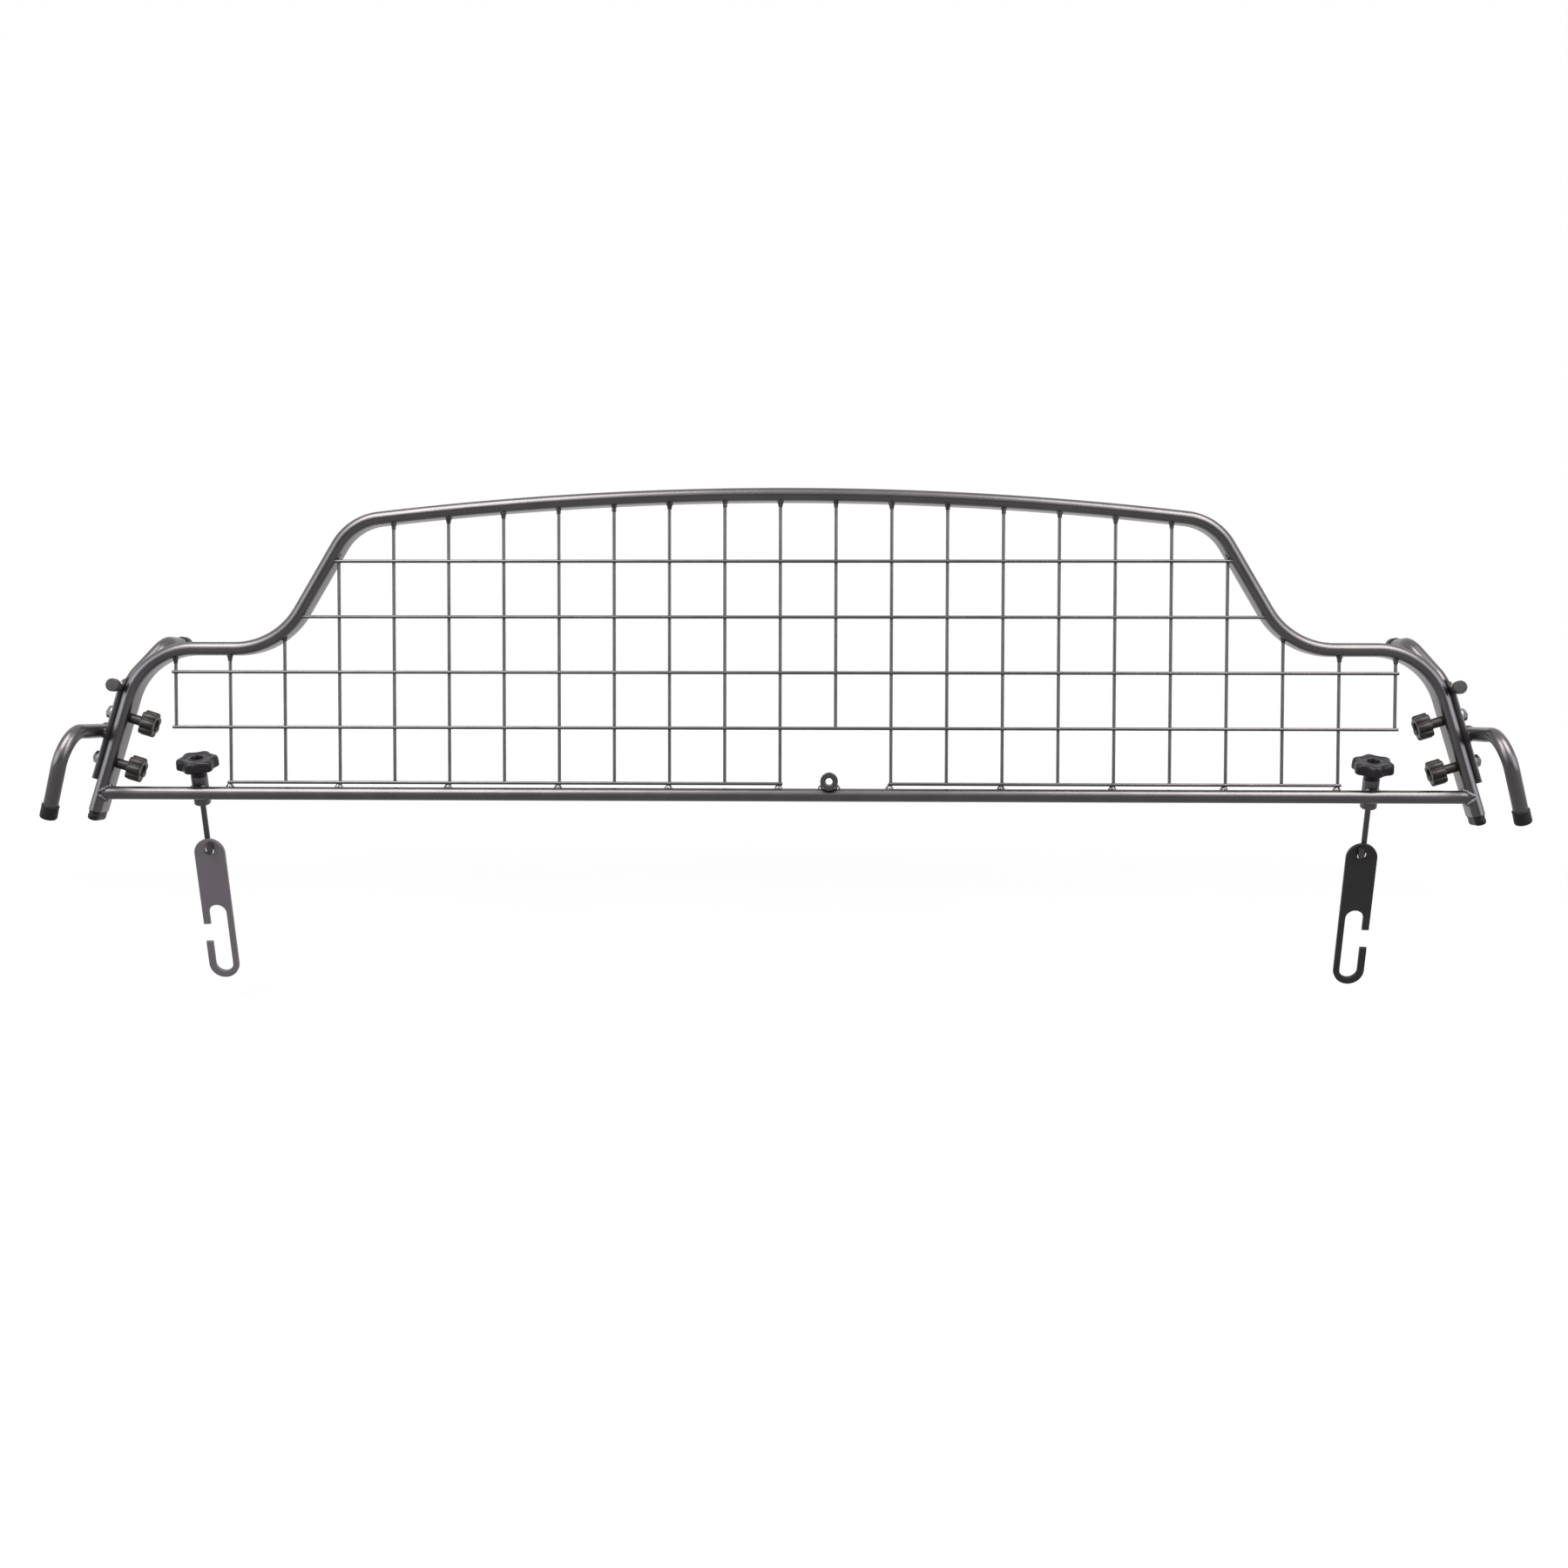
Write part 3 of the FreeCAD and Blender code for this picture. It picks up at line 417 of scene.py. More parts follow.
def star_outline(tip, valley, lobe, lobes, steps=10):
    """A star of round lobes joined by hollows that run on from them."""
    reach = tip - lobe
    share = cos(pi / lobes)
    hollow = lobe ** 2 - reach ** 2 - valley ** 2 + 2 * reach * valley * share
    hollow = hollow / (2 * (valley - reach * share - lobe))
    hollow_reach = valley + hollow
    outline = []
    for index in range(lobes):
        angle = 2 * pi * index / lobes
        tip_at = Vector((reach * cos(angle), reach * sin(angle)))
        after = angle + pi / lobes
        after_at = Vector((hollow_reach * cos(after), hollow_reach * sin(after)))
        to_join = (after_at - tip_at).normalized()
        join_angle = (atan2(to_join.y, to_join.x) - angle + pi) % (2 * pi) - pi
        for step in range(-steps, steps):
            turn = angle + join_angle * step / steps
            outline.append(tip_at + Vector((cos(turn), sin(turn))) * lobe)
        back = (tip_at - after_at).normalized()
        start = (atan2(back.y, back.x) - after + pi) % (2 * pi) - pi
        sweep = (-2 * start + pi) % (2 * pi) - pi
        for step in range(steps):
            turn = after + start + sweep * step / steps
            outline.append(after_at + Vector((cos(turn), sin(turn))) * hollow)
    return outline


def inset(outline, distance):
    """The outline moved inward along its normals."""
    count = len(outline)
    made = []
    for i, point in enumerate(outline):
        along = (outline[(i + 1) % count] - outline[i - 1]).normalized()
        made.append(point + Vector((-along.y, along.x)) * distance)
    return made


def lifted(outline, z):
    return [Vector((point.x, point.y, z)) for point in outline]


def toward_circle(outline, radius, share):
    made = []
    for point in outline:
        angle = atan2(point.y, point.x)
        target = Vector((cos(angle), sin(angle))) * radius
        made.append(point.lerp(target, share))
    return made


def flat_shape(name, outlines, thickness, edge):
    """A flat part from closed outlines, the first outer and the rest holes, centred on its own plane."""
    curve = bpy.data.curves.new(name, "CURVE")
    curve.dimensions = "2D"
    curve.fill_mode = "BOTH"
    curve.extrude = thickness / 2 - edge
    curve.bevel_depth = edge
    curve.bevel_resolution = 2
    curve.offset = -edge
    for outline in outlines:
        spline = curve.splines.new("POLY")
        spline.points.add(len(outline) - 1)
        for point, corner in zip(spline.points, outline):
            point.co = (corner[0], corner[1], 0, 1)
        spline.use_cyclic_u = True
    holder = bpy.data.objects.new(name, curve)
    mesh = bpy.data.meshes.new_from_object(holder)
    points = [vertex.co.copy() for vertex in mesh.vertices]
    faces = [tuple(face.vertices) for face in mesh.polygons]
    bpy.data.objects.remove(holder)
    bpy.data.curves.remove(curve)
    bpy.data.meshes.remove(mesh)
    return points, faces


def arc_points(x, y, radius, start, end, steps=24):
    turns = [radians(start + (end - start) * i / steps) for i in range(steps + 1)]
    return [(x + radius * cos(turn), y + radius * sin(turn)) for turn in turns]


def slot_outline(x, low, high, radius):
    return arc_points(x, high, radius, 0, 180) + arc_points(x, low, radius, 180, 360)


def bead(points, radius, ripple=0.16, wave=1.7):
    """A weld bead: a rippled bar along a line of points, thinned at its ends."""
    points = [Vector(point) for point in points]
    fade = radius * 1.2
    run, places = [], []
    total = 0
    for index, point in enumerate(points):
        ahead = points[min(index + 1, len(points) - 1)]
        behind = points[max(index - 1, 0)]
        run.append((point, (ahead - behind).normalized()))
        if index:
            total += (point - points[index - 1]).length
        places.append(total)

    def reach(index, angle):
        place = places[index]
        ends = min(1, place / fade + 0.25, (total - place) / fade + 0.25)
        lump = 1 + ripple * sin(2 * pi * place / wave + 0.6 * sin(place * 1.3)) + 0.05 * sin(3 * angle + place)
        return radius * ends * lump
    return round_sweep(run, reach, 14)


def dense(points):
    """The same line with points at an even spacing."""
    spacing = 0.35
    points = [Vector(point) for point in points]
    made = [points[0]]
    for start, end in zip(points, points[1:]):
        count = max(1, int((end - start).length / spacing))
        made += [start.lerp(end, (i + 1) / count) for i in range(count)]
    return made


# Hoop: its centreline runs from the right foot over the arch to the left foot

def hoop_line():
    on_diagonal = Vector((DIAGONAL_X, 0, DIAGONAL_HEIGHT))
    upward = Vector((-sin(DIAGONAL_LEAN), 0, cos(DIAGONAL_LEAN)))
    inward = Vector((-cos(DIAGONAL_LEAN), 0, -sin(DIAGONAL_LEAN)))
    arch_centre = Vector((0, 0, ARCH_HEIGHT - ARCH_RADIUS))
    offset = on_diagonal + inward * CORNER_RADIUS - arch_centre
    reach = ARCH_RADIUS - CORNER_RADIUS
    along = offset.dot(upward)
    travel = -along + sqrt(along ** 2 - offset.length ** 2 + reach ** 2)
    corner_centre = arch_centre + offset + upward * travel
    on_arch = arch_centre + (corner_centre - arch_centre) * (ARCH_RADIUS / reach)
    diagonal_end = corner_centre - inward * CORNER_RADIUS

    foot = Vector((LEG_X + FOOT_DROP * sin(LEG_LEAN), 0, -FOOT_DROP * cos(LEG_LEAN)))
    outer = Vector((LEG_X - SHOULDER * tan(LEG_LEAN), 0, SHOULDER))
    inner = Vector((DIAGONAL_X - (SHOULDER - DIAGONAL_HEIGHT) * tan(DIAGONAL_LEAN), 0, SHOULDER))
    run = rounded_run([foot, outer, inner, diagonal_end], [SHOULDER_RADIUS, STEP_RADIUS], radians(1.5))[:-1]

    corner_steps, arch_steps = 40, 60
    start = atan2((diagonal_end - corner_centre).z, (diagonal_end - corner_centre).x)
    end = atan2((on_arch - corner_centre).z, (on_arch - corner_centre).x)
    for index in range(corner_steps + 1):
        angle = start + (end - start) * index / corner_steps
        way = Vector((cos(angle), 0, sin(angle)))
        run.append((corner_centre + way * CORNER_RADIUS, Vector((-sin(angle), 0, cos(angle)))))
    half_turn = atan2(on_arch.x, on_arch.z - arch_centre.z)
    for index in range(1, arch_steps):
        angle = half_turn * (1 - index / arch_steps)
        run.append((arch_centre + Vector((sin(angle), 0, cos(angle))) * ARCH_RADIUS,
                    Vector((-cos(angle), 0, sin(angle)))))
    run.append((Vector((0, 0, ARCH_HEIGHT)), Vector((-1, 0, 0))))
    left = [(Vector((-point.x, 0, point.z)), Vector((way.x, 0, -way.z))) for point, way in reversed(run[:-1])]
    return run + left


HOOP = hoop_line()
RIGHT_HALF = [point for point, _ in HOOP[:len(HOOP) // 2 + 1]]
ABOVE_LEG_FOOT = 40


def hoop_height(x):
    """The centreline's height above the bar at a distance from the middle, on the way over the top."""
    for low, high in zip(RIGHT_HALF, RIGHT_HALF[1:]):
        if high.x <= abs(x) <= low.x and low.z > ABOVE_LEG_FOOT:
            share = (low.x - abs(x)) / max(low.x - high.x, TINY)
            return low.z + (high.z - low.z) * share
    return ARCH_HEIGHT


def hoop_reach(z):
    """The centreline's distance from the middle at a height."""
    for low, high in zip(RIGHT_HALF, RIGHT_HALF[1:]):
        if low.z <= z <= high.z:
            share = (z - low.z) / max(high.z - low.z, TINY)
            return low.x + (high.x - low.x) * share
    return LEG_X


def flat_oval(radius):
    """The tube's outline as (across, depth): a round front, two flats, a round back."""
    steps = 20
    turns = [pi * i / steps for i in range(steps + 1)]
    front = [(radius * sin(pi / 2 - turn), -radius * cos(pi / 2 - turn)) for turn in turns]
    back = [(-radius * cos(turn), TUBE_FLAT + radius * sin(turn)) for turn in turns]
    return front + back


def hoop_skin():
    outline = flat_oval(TUBE)
    rings = []
    for point, way in HOOP:
        outward = Vector((way.z, 0, -way.x))
        rings.append([point + outward * u + Vector((0, v, 0)) for u, v in outline])
    return skin(rings)


piece("hoop", [hoop_skin()], MIDDLE, COATED, "frame", ["hoop_tube"])


# Crossbar, boss and mesh

piece("crossbar_tube", [bar_between((-LEG_X, 0, 0), (LEG_X, 0, 0), BAR, 72)], MIDDLE, COATED, "frame",
      ["crossbar"])


def boss_ring():
    """A threaded ring along Y with broken edges."""
    return turned_ring([(8, 0.5), (8, 15.5), (7.5, 16), (4.1, 16), (3.1, 15), (3.1, 1), (4.1, 0), (7.5, 0)], 64)


piece("boss_ring", [boss_ring()], MIDDLE @ aimed(BOSS, (0, 1, 0)), COATED, "frame", ["divider_boss"])

SINK = 1
vertical = []
for index in range(-LAST_WIRE, LAST_WIRE + 1):
    x = index * PITCH
    if abs(index) == LAST_WIRE or index == 1:
        low = LOWEST_ROW + PITCH - WIRE
    elif index % 2:
        low = LOWEST_ROW - WIRE
    else:
        low = BAR - SINK
    vertical.append(bar_between((x, WIRE, low), (x, WIRE, hoop_height(x) - TUBE + SINK), WIRE))
piece("upright_wires", vertical, MIDDLE, WIRES, "frame", ["mesh_vertical_wires"])


def row_spans(row, z):
    """Where the wires of a row start and end: two in the lowest, one in the others."""
    if row == 0:
        outer = (LAST_WIRE - 1) * PITCH + ROW_OVERHANG
        return [(-outer, ROW_OVERHANG), (2 * PITCH - ROW_OVERHANG, outer)]
    reach = LAST_WIRE * PITCH + ROW_OVERHANG if row < 3 else hoop_reach(z) - 4
    return [(-reach, reach)]


horizontal, row_ends = [], []
for row in range(5):
    z = LOWEST_ROW + PITCH * row
    for start, end in row_spans(row, z):
        horizontal.append(bar_between((start, -WIRE, z), (end, -WIRE, z), WIRE))
        row_ends.append((row, z, start, end))
piece("row_wires", horizontal, MIDDLE, WIRES, "frame", ["mesh_horizontal_wires"])


# Welds on the frame

def cone_weld(at, direction, reach, top, tip, seed):
    """A funnel of weld metal from a wide root to the wire."""
    profile = [(0, -1.2), (top * 0.9, -1.0), (top, 0.2), (top * 0.93, reach * 0.25), (top * 0.72, reach * 0.5),
               (tip * 1.25, reach * 0.72), (tip, reach), (0, reach)]
    points, faces = lathe(profile, 20)
    swayed = []
    for point in points:
        lump = 1 + 0.08 * sin(3 * atan2(point.y, point.x) + seed) + 0.05 * sin(point.z * 2.5 + seed)
        swayed.append(Vector((point.x * lump, point.y * lump, point.z)))
    return moved((swayed, faces), aimed(at, direction))


frame_welds, bar_welds = [], []
for index in range(-LAST_WIRE, LAST_WIRE + 1):
    x = index * PITCH
    root = Vector((x, WIRE, hoop_height(x) - TUBE + 0.3))
    width = random.Random(index).uniform(2.5, 3.2)
    reach = random.Random(index + 40).uniform(4.8, 6.6)
    frame_welds.append(cone_weld(root, (0, 0, -1), reach, width, 1.65, index))
for index in range(1 - LAST_WIRE, LAST_WIRE, 2):
    root = Vector((index * PITCH - 1.2, 0.6, BAR - 0.35))
    bar_welds.append(cone_weld(root, (0.08, 0, 1), 4.6, 3.7, 1.8, index + 90))
for row, z, start, end in row_ends:
    if row >= 3:
        for at, way in ((start, 1), (end, -1)):
            root = Vector((at - way * 1.5, -WIRE, z))
            frame_welds.append(cone_weld(root, (way, 0, 0), 5, 2.4, 1.6, int(z) + way))


def crossing(x, z):
    """The small lens of metal where two wires are welded."""
    profile = [(0, -0.9), (0.9, -0.75), (1.5, -0.35), (1.62, 0), (1.5, 0.35), (0.9, 0.75), (0, 0.9)]
    return moved(lathe(profile, 14), aimed((x, 0, z), (0, 1, 0)))


for index in range(-LAST_WIRE, LAST_WIRE + 1):
    for row, z, start, end in row_ends:
        x = index * PITCH
        if start <= x <= end and z < hoop_height(x) - TUBE and not (index == 1 and row == 0):
            frame_welds.append(crossing(x, z))


def bar_to_leg(side):
    """The bead round the crossbar where it meets the leg."""
    steps = 120
    reach = BAR * 1.03
    line = []
    for i in range(steps + 1):
        angle = 2 * pi * i / steps
        y, z = -reach * cos(angle), reach * sin(angle)
        across_leg = -sqrt(max(TUBE ** 2 - y ** 2, 0)) if y < 0 else -TUBE
        x = LEG_X + (across_leg - z * sin(LEG_LEAN)) / cos(LEG_LEAN)
        line.append((side * (x - 0.3), y, z))
    return bead(line, 1.8, 0.2, 2.0)


def bar_to_sleeve(side, hand):
    """One of the two beads that curve from the crossbar's top round the sleeve."""
    line = []
    for i in range(25):
        turn = radians(38 + 52 * i / 24)
        rise = radians(i * 3.2)
        x = 7.5 * cos(radians(90 - i * 2.4)) + 4.2 * cos(turn)
        line.append((side * HOOK_X + hand * x, 2.2 + 4.4 * sin(rise), 6.2 - 0.9 * sin(rise)))
    return bead(line, 1.15)


def straight_bead(start, end, radius):
    return bead(dense([start, end]), radius)


for side in SIDES.values():
    bar_welds.append(bar_to_leg(side))
    for hand in (-1, 1):
        bar_welds.append(bar_to_sleeve(side, hand))
for hand in (-1, 1):
    x = BOSS.x + hand * 7.2
    line = [(x, -4.2, BAR - 0.9), (x + hand * 0.6, 0, BAR + 0.7), (x, 4.0, BAR - 0.9)]
    bar_welds.append(bead(dense(line), 1.5))
    bar_welds.append(straight_bead((x + hand * 2.6, -2.0, BAR - 0.1), (x + hand * 0.2, -1.0, BAR + 3.4), 0.9))
# The frame's welds take the darker copy with painted shade, the crossbar's welds the lighter copy with painted
# light.
piece("frame_welds", frame_welds, MIDDLE, PAINTED_SHADE_WELD, "frame", sharp=70)
piece("bar_welds", bar_welds, MIDDLE, PAINTED_LIGHT_WELD, "frame", sharp=70)


# Pieces of each side

def foot_cap():
    """A pushed-in cap with a thin flange and two steps round its rim, in the leg frame."""
    steps = [(-1.0, 0.0), (-0.85, 0.0), (-0.8, -0.2), (-0.8, -2.2), (-1.2, -2.5), (-1.2, -3.3), (-0.85, -3.7),
             (-0.85, -6.2), (-1.1, -7.3), (-1.8, -8.3), (-2.8, -8.85), (-4.2, -9.0)]
    return skin([[(u, v, z - FOOT_DROP) for u, v in flat_oval(TUBE + out)] for out, z in steps])


def cap_profile():
    """A sleeve cap, as (radius, height) with its closed end at the top."""
    return rounded_profile([(6.5, -10.5, 0), (7.45, -10.5, 0.4), (7.75, -9.6, 0.3), (7.55, -8.6, 0.4),
                            (7.75, 2.5, 2.4), (0, 2.5, 0)])


def strip(name, top, edge):
    """A pad or plate with a round top and a slot for each bolt."""
    outer = arc_points(8, top - 10, 10, 0, 180) + [(-2, 11), (18, 11)]
    slots = [slot_outline(BOLT_Y, up - 5, up + 5, 3.3) for up in BOLT_LEVELS.values()]
    return flat_shape(name, [outer] + slots, STRIP_THICK, edge)


def knob():
    """A star knob along Z from the neck's face, with a round recess in its end."""
    outline = star_outline(11.75, 9.7, 4.1, 7)
    rings = []
    for z, back in ((11.4, 3.0), (11.4, 1.0), (11.7, 0.35), (12.3, 0.0), (22.6, 0.1), (23.5, 0.4), (24.1, 1.1)):
        rings.append(lifted(inset(outline, back), z))
    body = inset(outline, 1.1)
    for share, z in ((0.35, 24.2), (0.75, 24.2), (1.0, 24.0)):
        rings.append(lifted(toward_circle(body, 5.8, share), z))
    rings.append(lifted(toward_circle(body, 5.5, 1), 23.4))
    rings.append(lifted(toward_circle(body, 5.3, 1), 22.2))
    star = skin(rings)
    neck = lathe(rounded_profile([(3.06, 0, 0), (4.4, 0, 0.2), (4.5, 1.0, 0.3), (4.5, 10.4, 0.4),
                                  (5.2, 11.6, 0)]), 40)
    return [star, neck]


def wheel():
    """A dished star wheel over a ribbed cone, along Z from the hub's base."""
    outline = star_outline(19, 16.2, 6.2, 6, 12)
    rings = []
    for z, back in ((7.2, 4.5), (7.2, 1.2), (7.35, 0.5), (7.9, 0.08), (8.8, 0.0), (14.0, 0.3), (15.6, 0.7),
                    (16.5, 1.4), (17.0, 2.3), (17.15, 3.4)):
        rings.append(lifted(inset(outline, back), z))
    body = inset(outline, 3.4)
    for share, z in ((0.25, 16.95), (0.5, 16.6), (0.72, 16.4), (0.86, 16.6), (0.94, 16.9)):
        rings.append(lifted(toward_circle(body, 6.2, share), z))
    rings.append(lifted(toward_circle(body, 5.9, 1), 16.9))
    rings.append(lifted(toward_circle(body, 5.5, 1), 16.3))
    rings.append(lifted(toward_circle(body, 5.4, 1), 11.3))
    rings.append(lifted(toward_circle(body, 3.4, 1), 11.2))
    rings.append(lifted(toward_circle(body, 3.3, 1), 3.2))
    star = skin(rings, closed_ends=False)
    hub = lathe(rounded_profile([(5.8, 3.2, 0), (5.8, 0, 0), (7.2, 0, 0.4), (7.3, 1.2, 0.3), (7.05, 2.2, 0.3),
                                 (7.3, 2.9, 0.3), (7.9, 6.2, 0.8), (9.2, 7.4, 0)]), 48)
    return [star, hub]


def hook_strip():
    """The hook's outline with its slot and mouth, round the hinge hole at the origin."""
    half = 14.1
    outer = [(half, -75.5)] + arc_points(0, -2.6, half, 0, 180) + arc_points(0, -117.4, half, 180, 360)
    outer += [(half, -94), (7.9, -94)] + arc_points(-0.4, -116.7, 8.3, 0, -180)
    outer += arc_points(-0.4, -63.8, 8.3, 180, 0) + [(7.9, -75.5)]
    hinge = arc_points(0, 0, 4.285, 0, 345, 23)
    return flat_shape("hook_strip", [outer, hinge], HOOK_THICK, 0.3)


FLAT_ON_LEG = Matrix(((0, 0, 1, 0), (1, 0, 0, 0), (0, 1, 0, 0), (0, 0, 0, 1)))
FLAT_ON_HOOK = Matrix(((1, 0, 0, 0), (0, 0, -1, 0), (0, 1, 0, 0), (0, 0, 0, 1)))
PEG_WAY = Vector((0, -cos(radians(2)), sin(radians(2))))
PEG_ROOT = Vector((11.8, 2, 98.4))
BEND = (2 * ROD + HOOK_THICK + 0.6) / 2 / cos(ROD_TURN)

ARM_OUT = ARM_FACE + ARM
ARM_DROP = 77.5
LOWER_ARM = [Vector((ARM_OUT, -ARM_FRONT + ARM_DROP * tan(radians(12)), ARM_LEVEL - ARM_DROP)),
             Vector((ARM_OUT, -ARM_FRONT, ARM_LEVEL)), Vector((ARM_OUT, 29.5, ARM_LEVEL))]
UPPER_ARM = [Vector((UPPER_ARM_OUT, 24.5, 64)), Vector((UPPER_ARM_OUT, 24.5, 106)), Vector((1, 58, 144.3)),
             Vector((1, 110.5, 144.3))]


def end_frame(points):
    return aimed(points[-1], points[-1] - points[-2])


def add_strips(name, on_leg, bracket):
    for tag, top, edge, face, material, slot in (("pad", 108, 0.3, PAD_FACE, RUBBER, "black_rubber"),
                                                 ("plate", 105.5, 0.25, PLATE_FACE, COATED, "coated_steel")):
        at = Matrix.Translation((face + STRIP_THICK / 2, 0, 0)) @ FLAT_ON_LEG
        piece(f"{name}_{tag}", [moved(strip(tag, top, edge), at)], on_leg, material, bracket,
              [f"{name}_bracket_{tag}"])


def add_arms(name, on_leg, bracket):
    for tag, points, radii in (("lower", LOWER_ARM, [27]), ("upper", UPPER_ARM, [25, 25])):
        tube = round_sweep(rounded_run(points, radii, radians(2)), ARM, 56)
        piece(f"{name}_{tag}_tube", [tube], on_leg, COATED, bracket, [f"{name}_{tag}_arm"])
    for tag, cap_node, points in (("front_end", "lower_arm_front_cap", LOWER_ARM[::-1]),
                                  ("rear_end", "lower_arm_rear_cap", LOWER_ARM),
                                  ("top_end", "upper_arm_cap", UPPER_ARM)):
        piece(f"{name}_{tag}", [moved(lathe(cap_profile()), end_frame(points))], on_leg, RUBBER, bracket,
              [f"{name}_{cap_node}"])


def add_peg(name, on_leg, bracket):
    peg_end = PEG_ROOT + PEG_WAY * PEG_LENGTH
    piece(name + "_peg", [bar_between(PEG_ROOT, peg_end, 3.5)], on_leg, DARK_STEEL, bracket, [name + "_stop_peg"])
    cap = rounded_profile([(3.5, -6.5, 0), (5.8, -6.5, 0.4), (6.0, 1.5, 0.9), (0, 1.5, 0)])
    piece(name + "_peg_end", [moved(lathe(cap, 48), aimed(peg_end, PEG_WAY))], on_leg, PEG_RUBBER, bracket,
          [name + "_stop_peg_cap"])


def add_bracket_welds(name, on_leg, bracket):
    """Beads along both arms, under the peg and round the lower arm's front."""
    welds = []
    for hand in (-1, 1):
        lower = [(ARM_FACE + 0.4, y, ARM_LEVEL + hand * 2.9) for y in (-1.6, 17.6)]
        welds.append(straight_bead(*lower, 1.3))
        upper = [(UPPER_ARM_OUT + hand * 2.2, 18.9, u) for u in (66, 94)]
        welds.append(straight_bead(*upper, 1.2))
    below_peg = [2 * pi * i / 60 for i in range(31, 61)]
    welds.append(bead([(PEG_ROOT.x + 3.7 * cos(a), -2.1, PEG_ROOT.z + 3.7 * sin(a)) for a in below_peg], 0.9))
    round_arm = [radians(-40 + 80 * i / 30) for i in range(31)]
    welds.append(bead([(ARM_OUT - 6.6 * cos(a), -2.0, ARM_LEVEL + 6.6 * sin(a)) for a in round_arm], 0.9))
    # These beads take the darker weld copy, with painted shade.
    piece(name + "_bracket_welds", welds, on_leg, PAINTED_SHADE_WELD, bracket, sharp=70)


def add_clamps(name, on_leg):
    washer = [(3.2, 0.15), (3.35, 0), (5.85, 0), (6, 0.15), (6, 1.05), (5.85, WASHER_THICK), (3.35, WASHER_THICK),
              (3.2, 1.05)]
    washers, nuts = [], []
    for level, up in BOLT_LEVELS.items():
        inward = aimed((-PAD_FACE, BOLT_Y, up), (-1, 0, 0))
        outward = aimed((ARM_FACE + 0.1, BOLT_Y, up), (1, 0, 0))
        piece(f"{name}_{level}_grip", [moved(part, inward) for part in knob()], on_leg, KNOB_PLASTIC,
              f"{name}_{level}_knob", [f"{name}_{level}_knob"], sharp=40)
        stud = threaded_bar((-PAD_FACE - 19.4, BOLT_Y, up), (ARM_FACE + 5.9, BOLT_Y, up), THREAD)
        piece(f"{name}_{level}_stud", [stud], on_leg, ZINC, f"{name}_{level}_bolt", [f"{name}_{level}_bolt"],
              sharp=60)
        washers.append(moved(turned_ring(washer, 48), outward))
        nuts.append(moved(m6_hexagon(), outward @ Matrix.Translation((0, 0, WASHER_THICK))))
    piece(name + "_washers", washers, on_leg, ZINC, "frame", [name + "_clamp_washers"])
    piece(name + "_nuts", nuts, on_leg, NUT_STEEL, "frame", [name + "_clamp_nuts"], sharp=25)


def add_tension_hook(name, side):
    on_hook = hook(side)
    wall = [(3.3, -15.5), (3.8, -16), (6.6, -16), (7.5, -15.1), (7.5, 11.9), (6.9, 12.5), (3.8, 12.5), (3.3, 12.0)]
    piece(name + "_sleeve", [turned_ring(wall, 64)], on_hook, SLEEVE_STEEL, "frame", [name + "_tension_sleeve"])

    top, low = Vector((0, 0, THREAD_START)), Vector((0, 0, -HOOK_DROP))
    turned = low + Vector((-sin(ROD_TURN), -cos(ROD_TURN), 0)) * 2 * BEND
    shank = rounded_run([top, low, turned, turned + Vector((0, 0, 10))], [BEND] * 2, radians(6))
    rod = [round_sweep(shank, ROD, 32), threaded_bar(top, (0, 0, 25), THREAD)]
    piece(name + "_rod", rod, on_hook, ROD_STEEL, name + "_hook_rod", [name + "_hook_rod"],
          sharp=60)
    hinge = (-BEND * sin(ROD_TURN), -2.9 - HOOK_THICK / 2, 1 - HOOK_DROP)
    # Each hook takes its side's steel copy, lighter with painted light on the left and darker with painted shade
    # on the right.
    piece(name + "_hook_strip", [moved(hook_strip(), Matrix.Translation(hinge) @ FLAT_ON_HOOK)], on_hook,
          HOOK_STEEL_PAINTED_LIGHT[side], name + "_hook", [name + "_hook_plate"])

    # Both wheels are built alike, so the left one is placed without the mirror.
    wheel_base = Matrix.Translation((side * HOOK_X, HOOK_BASE.y, HOOK_BASE.z)) @ Matrix.Rotation(HOOK_LEAN, 4, "X")
    on_wheel = MIDDLE @ wheel_base @ Matrix.Translation((0, 0, WHEEL_LEVEL))
    on_wheel = on_wheel @ Matrix.Rotation(WHEEL_TURNS[side], 4, "Z")
    piece(name + "_wheel", wheel(), on_wheel, PLASTIC, name + "_handwheel", [name + "_handwheel"],
          sharp=50)
    piece(name + "_insert", [m6_hexagon()], on_wheel, ZINC, name + "_handwheel",
          [name + "_handwheel_insert"], sharp=25)


for name, side in SIDES.items():
    on_leg = leg(side)
    bracket = name + "_bracket"
    piece(name + "_foot", [foot_cap()], on_leg, RUBBER, "frame", [name + "_foot_cap"])
    add_strips(name, on_leg, bracket)
    add_arms(name, on_leg, bracket)
    add_peg(name, on_leg, bracket)
    add_bracket_welds(name, on_leg, bracket)
    add_clamps(name, on_leg)
    add_tension_hook(name, side)


# Floor, backdrop, light and camera

def seen_by(nodes, links, *kinds):
    """One for the named kinds of ray and zero for the others."""
    rays = nodes.new("ShaderNodeLightPath")
    share = rays.outputs[f"Is {kinds[0]} Ray"]
    for kind in kinds[1:]:
        both = nodes.new("ShaderNodeMath")
        both.operation = "MAXIMUM"
        links.new(share, both.inputs[0])
        links.new(rays.outputs[f"Is {kind} Ray"], both.inputs[1])
        share = both.outputs["Value"]
    return share


def times(nodes, links, first, second):
    product = nodes.new("ShaderNodeMath")
    product.operation = "MULTIPLY"
    links.new(first, product.inputs[0])
    links.new(second, product.inputs[1])
    return product.outputs["Value"]


